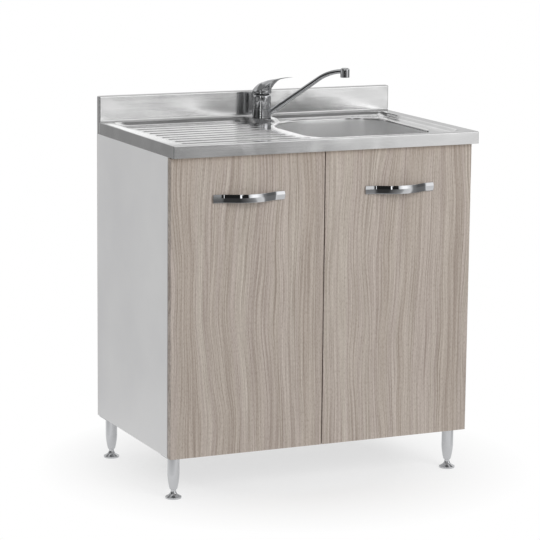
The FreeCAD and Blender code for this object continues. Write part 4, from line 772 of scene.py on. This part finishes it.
def spout():
    """Collar, arm and head. The arm's line is start + distance * (cos tilt, sin tilt), then
    an arc whose turn falls evenly from the tilt to nothing."""
    bend_at = SPOUT_REACH - ARM_ARC * math.sin(ARM_TILT)
    straight = (bend_at - ARM_START) / math.cos(ARM_TILT)
    along = np.concatenate([np.linspace(0, straight, 24, endpoint=False),
                            straight + ARM_ARC * np.linspace(0, ARM_TILT, 25)])
    tilt = ARM_TILT - np.maximum(along - straight, 0) / ARM_ARC
    bend_height = SPOUT_HEIGHT - ARM_ARC * (1 - math.cos(ARM_TILT))
    reach = np.where(along < straight, ARM_START + along * math.cos(ARM_TILT),
                     SPOUT_REACH - ARM_ARC * np.sin(tilt))
    height = np.where(along < straight, bend_height - (straight - along) * math.sin(ARM_TILT),
                      SPOUT_HEIGHT - ARM_ARC * (1 - np.cos(tilt)))
    share = along / along[-1]
    half = ARM_HALF * (1 - share) + TIP_HALF * share
    half_high = np.minimum(half, 5.2 + along * 0.12)
    arm = carried(xyz(reach, height), xyz(np.cos(tilt), np.sin(tilt)), half_high, half * 1.3)
    collar = turned(eased_line([(COLLAR_BORE, COLLAR_LOW), (COLLAR, COLLAR_LOW), (COLLAR, COLLAR_TOP),
                                (COLLAR_BORE, COLLAR_TOP), (COLLAR_BORE, COLLAR_LOW)],
                               [0.6, 0.7, 0]), TAP_X, TAP_Y, 96)
    middle = beside_tap(SPOUT_ANGLE, SPOUT_REACH, 0, 0)
    head = turned(eased_line([(0, HEAD_STEP), (HEAD_BORE, HEAD_STEP), (HEAD_BORE, HEAD_LOW),
                              (HEAD, HEAD_LOW), (HEAD, HEAD_TOP), (0, HEAD_TOP)],
                             [0.2, 0.4, 0.8, 5.0]), middle[0], middle[1], 72)
    print("arm starts", height[0].round(1), "above the deck and is", along[-1].round(), "mm long")
    return several([arm, collar, head])


crisp(new_piece("spout_casting", *spout(), "spout", bright_chrome, "chrome", ("spout",)))

# %% [markdown]
# ### The lever
# The lever is the tap's character: a cap over the cartridge whose top runs on into a
# thin blade, like a fin. It is worked out on rays from the tap's axis. In plan the
# outline is a circle joined softly to a narrow tongue. The ridge rises slowly along
# the blade, the edge starts low round the cap and nearly meets the ridge at the tip.

# %% The lever's outline
LEVER_ANGLE, CAP_RADIUS, CAP_INSIDE, CAP_RIM, LEVER_TIP = 28.0, 24.2, 22.4, 62.5, 97.0


def tongue_half(s):
    """Half the blade's width: it narrows fast at first, then runs almost parallel, and
    ends in a quarter of an ellipse."""
    wide = 7 + 10 * np.clip(1 - (s - 17.2) / 79.8, 0, 1) ** 2.2
    end = np.clip((s - 89) / 8, 0, 1)
    return wide * np.sqrt(1 - end ** 2)


def outline_reach(turn):
    """Distance from the axis to the outline: (circle^6 + tongue^6)^(1/6)."""
    def inside(reach):
        s, w = reach * np.cos(turn), reach * np.sin(turn)
        return (np.abs(w) <= tongue_half(s)) & (s < LEVER_TIP)

    reach = by_halving(inside, np.zeros_like(turn), np.full_like(turn, 130.0), 40)
    tongue = np.where(np.cos(turn) > 0, reach, 0)
    return (CAP_RADIUS ** 6 + tongue ** 6) ** (1 / 6)


def outline_turns(count=176):
    """Directions in which the outline's points lie evenly along it."""
    turn = np.linspace(-math.pi, math.pi, 20001)
    reach = outline_reach(turn)
    x, y = reach * np.cos(turn), reach * np.sin(turn)
    run = np.concatenate([[0], np.cumsum(np.hypot(np.diff(x), np.diff(y)))])
    return np.interp(np.linspace(0, run[-1], count, endpoint=False), run, turn)


# %% The lever's surface
def lever():
    """Rows from the ridge out to the edge, back under it to the cap's wall, down the wall,
    round the rim and up to the roof of the cavity."""
    turn = outline_turns()
    edge = outline_reach(turn)
    ahead = np.maximum(np.cos(turn), 0)
    edge_s = edge * np.cos(turn)
    edge_z = smooth_line(edge_s, [-60, -20, 0, 17, 30, 46, 65, 97],
                         [68, 68, 69, 76, 87, 98, 103.6, 108.9])
    wall_z = CAP_RIM + 5.5 + 8 * ahead ** 2

    def ridge(s):
        return smooth_line(s, [-60, -20, 0, 18, 46, 66, 97], [89, 89, 90, 95.6, 102, 104.8, 110.3])

    rows = []
    for share in 1 - (1 - np.linspace(0, 1, 34)) ** 1.7:
        s, w = share * edge_s, share * edge * np.sin(turn)
        height = ridge(s) - (ridge(edge_s) - edge_z) * (1 - (1 - share ** 1.5) ** 0.8)
        rows.append((s, w, height))
    for share in np.linspace(1, 0, 10)[1:]:
        reach = CAP_RADIUS + (edge - CAP_RADIUS) * share
        rows.append((reach * np.cos(turn), reach * np.sin(turn),
                     wall_z + (edge_z - wall_z) * (1 - (1 - share) ** 2.6)))
    inner = [(CAP_RADIUS, (wall_z + CAP_RIM) * 0.5), (CAP_RADIUS, CAP_RIM + 0.5),
             (CAP_RADIUS - 0.5, CAP_RIM), (CAP_INSIDE, CAP_RIM), (CAP_INSIDE, CAP_RIM + 3),
             (CAP_INSIDE, 67.0), (17.5, 74.5), (0, 75.5)]
    for radius, height in inner:
        rows.append((radius * np.cos(turn), radius * np.sin(turn), height + 0 * turn))
    s, w, height = (np.array(part) for part in zip(*rows))
    points = beside_tap(LEVER_ANGLE, s, w, height)
    shell = points, grid_faces(*points.shape[:2], wrap=True)[:, ::-1]
    spindle, faces = rounded_box((-4, -4, 53.6), (4, 4, 77), 0.6, 2)
    return several([shell, (beside_tap(LEVER_ANGLE, *spindle.T), faces)])


lever_piece = crisp(new_piece("lever_blade", *lever(), "lever", bright_chrome, "chrome",
                              ("lever",)), 50)
print("lever", len(lever_piece.data.polygons), "faces")

# %% [markdown]
# ## The handles
# Each handle is a flat strap of chromed metal, bent out from two feet into a bow. Seen
# from above its outline is drawn with lines and arcs, then it is pulled up to the
# strap's width with its edges rolled, as a tumbled casting has them.

# %% A rolled slab
def rolled_slab(outline, low, high, crown, steps=12):
    """A closed outline pulled up from low to high. At a share u of the way, counted from
    the middle, every point lies crown * u^2 inwards along its corner's bisector, and
    the last half millimetre is rolled."""
    before, after = np.roll(outline, 1, axis=0), np.roll(outline, -1, axis=0)
    first, second = outline - before, after - outline
    first /= np.linalg.norm(first, axis=1, keepdims=True)
    second /= np.linalg.norm(second, axis=1, keepdims=True)
    along = first + second
    inward = xyz(-along[:, 1], along[:, 0])
    square = xyz(-first[:, 1], first[:, 0])
    inward /= np.maximum((inward * square).sum(axis=1), 0.3)[:, None]
    half = (high - low) / 2
    rings = [(-half, 1.0, 0.5), (-half + 0.15, 1.0, 0.15)]
    rings += [(u * (half - 0.5), u ** 2, 0.0) for u in np.linspace(-1, 1, 2 * steps + 1)]
    rings += [(half - 0.15, 1.0, 0.15), (half, 1.0, 0.5)]
    points = np.array([np.column_stack([outline + inward * (crown * share + roll)[:, None],
                                        np.full(len(outline), low + half + z)])
                       for z, share, roll in rings])
    count = len(outline)
    faces = grid_faces(len(rings), count, wrap=True).tolist()
    faces.append(list(range(count))[::-1])
    faces.append(list(range(count * (len(rings) - 1), count * len(rings))))
    return points, faces


# %% The handles
HANDLE_Z, HANDLE_HIGH, HANDLE_HALF, HANDLE_FOOT, STRAP = 720.0, 20.0, 92.0, 66.0, 4.5
HANDLE_X = {"left": -203.75, "right": 191.75}
DOOR_FACE, ARC_HALF, ARC_DEPTH, CROWN = -228.5, 36.0, 6.5, 1.3
BOW = 29.0


def handle(side):
    """From above, the front is a chain of points joined smoothly: each foot stands 4.5 mm
    proud and rises to 7.5, a sloping strap leads out to the shoulder, and between the
    shoulders runs the arc 29 - 6.5 (x / 36)^2. The back is the same line, one strap lower.
    The front is crowned: its edges lie back."""
    chain = [(-HANDLE_HALF, STRAP), (-HANDLE_FOOT, STRAP + 3), (-ARC_HALF, BOW - ARC_DEPTH), (0, BOW),
             (ARC_HALF, BOW - ARC_DEPTH), (HANDLE_FOOT, STRAP + 3), (HANDLE_HALF, STRAP)]
    x = np.linspace(-HANDLE_HALF, HANDLE_HALF, 121)
    straight = np.interp(x, *np.transpose(chain))
    arc = BOW - ARC_DEPTH * (x / ARC_HALF) ** 2
    proud = np.where(np.abs(x) < ARC_HALF, arc, straight)
    spread = np.arange(-6, 7)
    weight = np.exp(-(spread / 2.6) ** 2)
    padded = np.pad(proud, 6, mode="reflect", reflect_type="odd")
    front = np.minimum(np.convolve(padded, weight / weight.sum(), "valid"), BOW)
    inside = np.linspace(HANDLE_FOOT + 3, -HANDLE_FOOT - 3, 91)
    depth = np.maximum(np.interp(inside, x, front) - STRAP * 1.12, 0)
    depth[[0, -1]] = 0
    outline = np.concatenate([[[-HANDLE_HALF, DOOR_FACE]], np.column_stack([x, DOOR_FACE - front]),
                              [[HANDLE_HALF, DOOR_FACE]],
                              np.column_stack([inside, DOOR_FACE - depth])])
    crown = np.concatenate([[0], np.full(len(x), CROWN), [0], np.full(len(inside), 0.2)])
    slab = rolled_slab(outline + [HANDLE_X[side], 0], HANDLE_Z - HANDLE_HIGH / 2,
                       HANDLE_Z + HANDLE_HIGH / 2, crown)
    return crisp(new_piece("handle_bow_" + side, *slab, "door_" + side, bright_chrome, "chrome",
                           ("handle_" + side,)), 40)


for side in HANDLE_X:
    print(side, "handle", len(handle(side).data.polygons), "faces")

# %% [markdown]
# ## Legs and feet
# The four legs are turned: a straight shaft with a long taper to a thin neck, and
# under it a foot like a small trumpet that screws in and out to level the unit.

# %% Legs and feet
LEG_PLACES = {"front_left": (-375, -186.5), "front_right": (363, -186.5),
              "rear_left": (-375, 226.5), "rear_right": (363, 226.5)}
LEG, LEG_LOW, LEG_TOP, STUD_HOLE, STUD = 14.5, 22.0, 102.0, 4.1, 4.0
FOOT, FOOT_EDGE, FOOT_TOP, STUD_TOP = 19.5, 4.2, 21.9, 61.9


def legs_and_feet():
    """Lines of (radius, height) turned round each leg's axis; the swelling of the leg and
    the bell of the foot are smooth lines through a few radii."""
    heights = np.linspace(22.8, 57, 13)
    taper = smooth_line(heights, [22.8, 29, 38, 48, 57], [9.1, 10.7, 12.4, 13.8, LEG])
    leg = np.concatenate([
        [[STUD_HOLE, 70], [STUD_HOLE, LEG_LOW], [8.3, LEG_LOW], [8.9, LEG_LOW + 0.3]],
        np.column_stack([taper, heights]),
        [[LEG, 60], [LEG, LEG_TOP - 0.6], [LEG - 0.6, LEG_TOP], [0, LEG_TOP]]])
    heights = np.linspace(4.6, FOOT_TOP, 12)
    bell = np.column_stack([smooth_line(heights, [4.6, 9.2, 14, FOOT_TOP], [18.6, 10.6, 7.4, 6.3]),
                            heights])
    disc = eased_line([(0, 0), (FOOT, 0), (FOOT, FOOT_EDGE), bell[0]], [0.8, 0.8])
    foot = np.concatenate([disc, bell, [[STUD, FOOT_TOP], [STUD, STUD_TOP], [0, STUD_TOP]]])
    for name, (x, y) in LEG_PLACES.items():
        for part, line, body in (("leg_", leg, "carcass"), ("foot_", foot, "foot_" + name)):
            crisp(new_piece(part + "turned_" + name, *turned(line, x, y, 56), body, bright_chrome,
                            "chrome", (part + name,)), 45)


legs_and_feet()
print("legs and feet made")

# %% [markdown]
# ## Boards, fittings and what is under the sink
# The boards and the small fittings already have their real shape. What they lack is
# the softened edge that catches the light on anything sawn, moulded or turned, so each
# is copied, its loose triangles are merged, on the boards flat neighbours are joined, and
# the edges are bevelled a little. Round sides are then shaded smooth.

# %% Softened copies
def softened(node, finish, slot, width, *steps):
    """A copy of a piece of the frame with merged points and bevelled edges."""
    source = frame["nodes"][node]
    mesh = source.data.copy()
    merged(mesh, *steps)
    piece = on_body(node + "_softened", mesh, source["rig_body"], finish, (node,))
    bevel = piece.modifiers.new("edges", "BEVEL")
    bevel.width = width * MM
    bevel.segments = 2
    bevel.limit_method = "ANGLE"
    bevel.angle_limit = math.radians(50)
    bevel.harden_normals = False
    return crisp(piece, 32)


boards = (
    (decor, "door_decor", 0.7, "door_left door_right"),
    (white, "white_board", 0.5, "side_panel_left side_panel_right bottom_panel front_rail rear_rail"),
    (backing, "hardboard", 0.2, "back_panel"),
    (raw, "bare_wood", 3.0, "sink_battens"),
    (raw, "bare_wood", 0.4, "panel_dowels"))
fittings = (
    (bright_chrome, "chrome", 0.15, "tap_base_ring tap_body waste_flange overflow_rosette "
     "basket_strainer aerator"),
    (zinc, "zinc_steel", 0.12, "handle_screws_left handle_screws_right cup_screws_left "
     "cup_screws_right wood_screws hinge_arms hinge_plates hinge_cups_left hinge_cups_right "
     "sink_clips leg_plates waste_screw tap_clamp_washer"),
    (rubber, "rubber", 0.2, "waste_gasket tap_seal door_bumpers"),
    (white_plastic, "white_plastic", 0.3, "waste_body overflow_pipe trap_inlet_tube trap_body "
     "trap_cup trap_outlet_pipe trap_nuts cartridge cartridge_rotor"),
    (grey_plastic, "grey_plastic", 0.1, "index_button"),
    (brass, "brass", 0.2, "tap_shank_nut inlet_tails"))
for group, steps in ((boards, [flat_joined]), (fittings, [])):
    for finish_of, slot_name, width, names in group:
        for node in names.split():
            softened(node, finish_of, slot_name, width, *steps)
        print(slot_name, "on", len(names.split()), "pieces")

# %% [markdown]
# ## Floor, walls of light, and lamps
# The unit was photographed in a white studio. The background is white because the
# world is white where the camera looks at it straight; what lights the boards is a
# plain, even level. Polished metal mirrors the studio itself: white screens to the
# camera's right and at the left rear, black curtains with narrow bright gaps between
# them behind the camera, pale walls, and a dim ceiling.

# %% What polished metal mirrors
def grey(*levels):
    return [(at, (level, level, level)) for at, level in levels]


def way_round(tree, direction):
    """A direction's turn round the upright axis as a share, 0.5 straight to the front, and
    its height."""
    split = outputs(tree, "SeparateXYZ", Vector=direction)
    ahead = worked(tree, "Math", "MULTIPLY", split["Y"], -1.0)["Value"]
    turn = worked(tree, "Math", "ARCTAN2", split["X"], ahead)["Value"]
    return between(tree, turn, 0.0, 1.0, -math.pi, math.pi), split["Z"]


def by_degrees(tree, share, levels):
    """Levels are (degrees, brightness), from -180 behind through 0 in front, right
    positive."""
    return ramp(tree, share, grey(*[((degrees + 180) / 360, level) for degrees, level in levels]))


def away(tree, place_on):
    """Distance from the middle of the floor."""
    return worked(tree, "VectorMath", "LENGTH", place_on)["Value"]


def mirrored_floor(tree, direction):
    """The far floor: dark where the camera's side of the room mirrors in it, white under
    the screens. Near the unit it is white all round."""
    share, _ = way_round(tree, direction)
    far = by_degrees(tree, share, [
        (-180, 0.4), (-165, 0.28), (-150, 0.3), (-136, 0.3), (-131, 1.0), (-121, 1.0),
        (-117, 0.3), (-80, 0.3), (-50, 0.06), (-18, 0.05), (-2, 0.15), (14, 0.3), (21, 0.4),
        (25, 0.56), (29, 0.86), (48, 1.0), (56, 0.3), (84, 0.2), (104, 0.55), (150, 0.5)])
    return mixed(tree, between(tree, away(tree, direction), 0.0, 1.0, 0.55, 1.3), NEAR_FLOOR, far)


def mirrored_room(tree, direction):
    """The room in three bands of height: near the horizon a white screen to the camera's
    right, black curtains with narrow gaps behind the camera and pale walls; above them
    the same, softer; a dim ceiling, paler overhead."""
    share, height = way_round(tree, direction)
    low = by_degrees(tree, share, [
        (-180, 0.5), (-150, 0.36), (-136, 0.2), (-131, 1.0), (-121, 1.0), (-117, 0.2),
        (-80, 0.1), (-62, 0.02), (-47, 0.02), (-44, 2.4), (-38, 2.4), (-35, 0.02),
        (-14, 0.02), (-12, 2.0), (-9, 2.0), (-7, 0.02), (9, 0.02), (12, 0.9), (17, 1.3),
        (23, 1.7), (34, 1.7), (48, 1.0), (56, 0.3), (84, 0.12), (110, 0.5), (130, 0.66),
        (165, 0.6)])
    middle = by_degrees(tree, share, [
        (-180, 0.8), (-150, 0.6), (-125, 0.9), (-112, 0.1), (-75, 0.02), (-50, 0.02),
        (-46, 1.4), (-40, 1.4), (-36, 0.03), (-14, 0.02), (-11, 1.3), (-6, 1.3), (-3, 0.02),
        (9, 0.03), (14, 0.7), (21, 1.3), (36, 1.5), (48, 1.1), (56, 1.3), (72, 1.3),
        (90, 1.0), (115, 1.0), (150, 0.95)])
    high = ramp(tree, height, grey((0.62, 0.3), (0.7, 0.25), (0.78, 0.25), (0.88, 0.7), (1.0, 0.9)))
    walls = mixed(tree, between(tree, height, 0.0, 1.0, 0.24, 0.38), low, middle)
    return mixed(tree, between(tree, height, 0.0, 1.0, 0.56, 0.66), walls, high)


# %% World
EVEN_LIGHT, FLOOR_LIGHT, NEAR_FLOOR = (0.66,) * 3, (0.6,) * 3, (0.95,) * 3
WHITE = (1.0, 1.0, 1.0)


def by_ray(tree, dull, mirrored):
    """White to the camera, the mirrored level to polished metal, the dull one to the rest."""
    path = outputs(tree, "LightPath")
    unseen = mixed(tree, path["Is Glossy Ray"], dull, mirrored)
    return mixed(tree, path["Is Camera Ray"], unseen, WHITE)


def studio_world():
    """Light from a direction: one level for dull surfaces, white for the camera, and the
    mirrored room for polished ones."""
    world = bpy.data.worlds.new("studio")
    bpy.context.scene.world = world
    world.use_nodes = True
    tree = world.node_tree
    room = mirrored_room(tree, outputs(tree, "TexCoord")["Generated"])
    feed(tree, tree.nodes["Background"], Color=by_ray(tree, EVEN_LIGHT, room))


def lamp(name, stand, target, width, height, power):
    data = bpy.data.lights.new(name, "AREA")
    data.shape = "RECTANGLE"
    data.size, data.size_y, data.energy = width, height, power
    lamp_object = in_scene(name, data)
    lamp_object.visible_glossy = False
    aim = (Vector(stand) - Vector(target)).to_track_quat("Z", "Y")
    lamp_object.matrix_world = Matrix.Translation(stand) @ aim.to_matrix().to_4x4()


studio_world()
lamp("front_light", (0.9, -3.7, 2.4), (0, 0, 0.5), 2.2, 2.2, 72)


# %% Floor
FLOOR_REACH = 12.0  # metres to each side


def floor():
    """A large plain floor. Far from the unit it is as white as the background; near it
    the floor is a matt white that holds the shadow."""
    material, tree, shader = finish("studio_floor", (0.9, 0.9, 0.9), 0.7)
    here = outputs(tree, "TexCoord")["Object"]
    glow = outputs(tree, "Emission", Color=by_ray(tree, FLOOR_LIGHT, mirrored_floor(tree, here)))
    mix = tree.nodes.new("ShaderNodeMixShader")
    share = between(tree, away(tree, here), 0.5, 1.0, 0.28, 0.62)
    for value, socket in zip((share, shader.outputs["BSDF"], glow["Emission"]), mix.inputs):
        plug(tree, value, socket)
    feed(tree, tree.nodes["Material Output"], Surface=mix.outputs["Shader"])
    mesh = bpy.data.meshes.new("studio_floor")
    side = np.array([-FLOOR_REACH, FLOOR_REACH])
    x, y = np.meshgrid(side, side, indexing="ij")
    mesh.from_pydata(xyz(x, y, 0).reshape(-1, 3), [], grid_faces(2, 2)[:, ::-1].tolist())
    mesh.materials.append(material)
    in_scene("studio_floor", mesh)


floor()
bpy.context.scene.view_settings.view_transform = "Standard"
print("floor made")
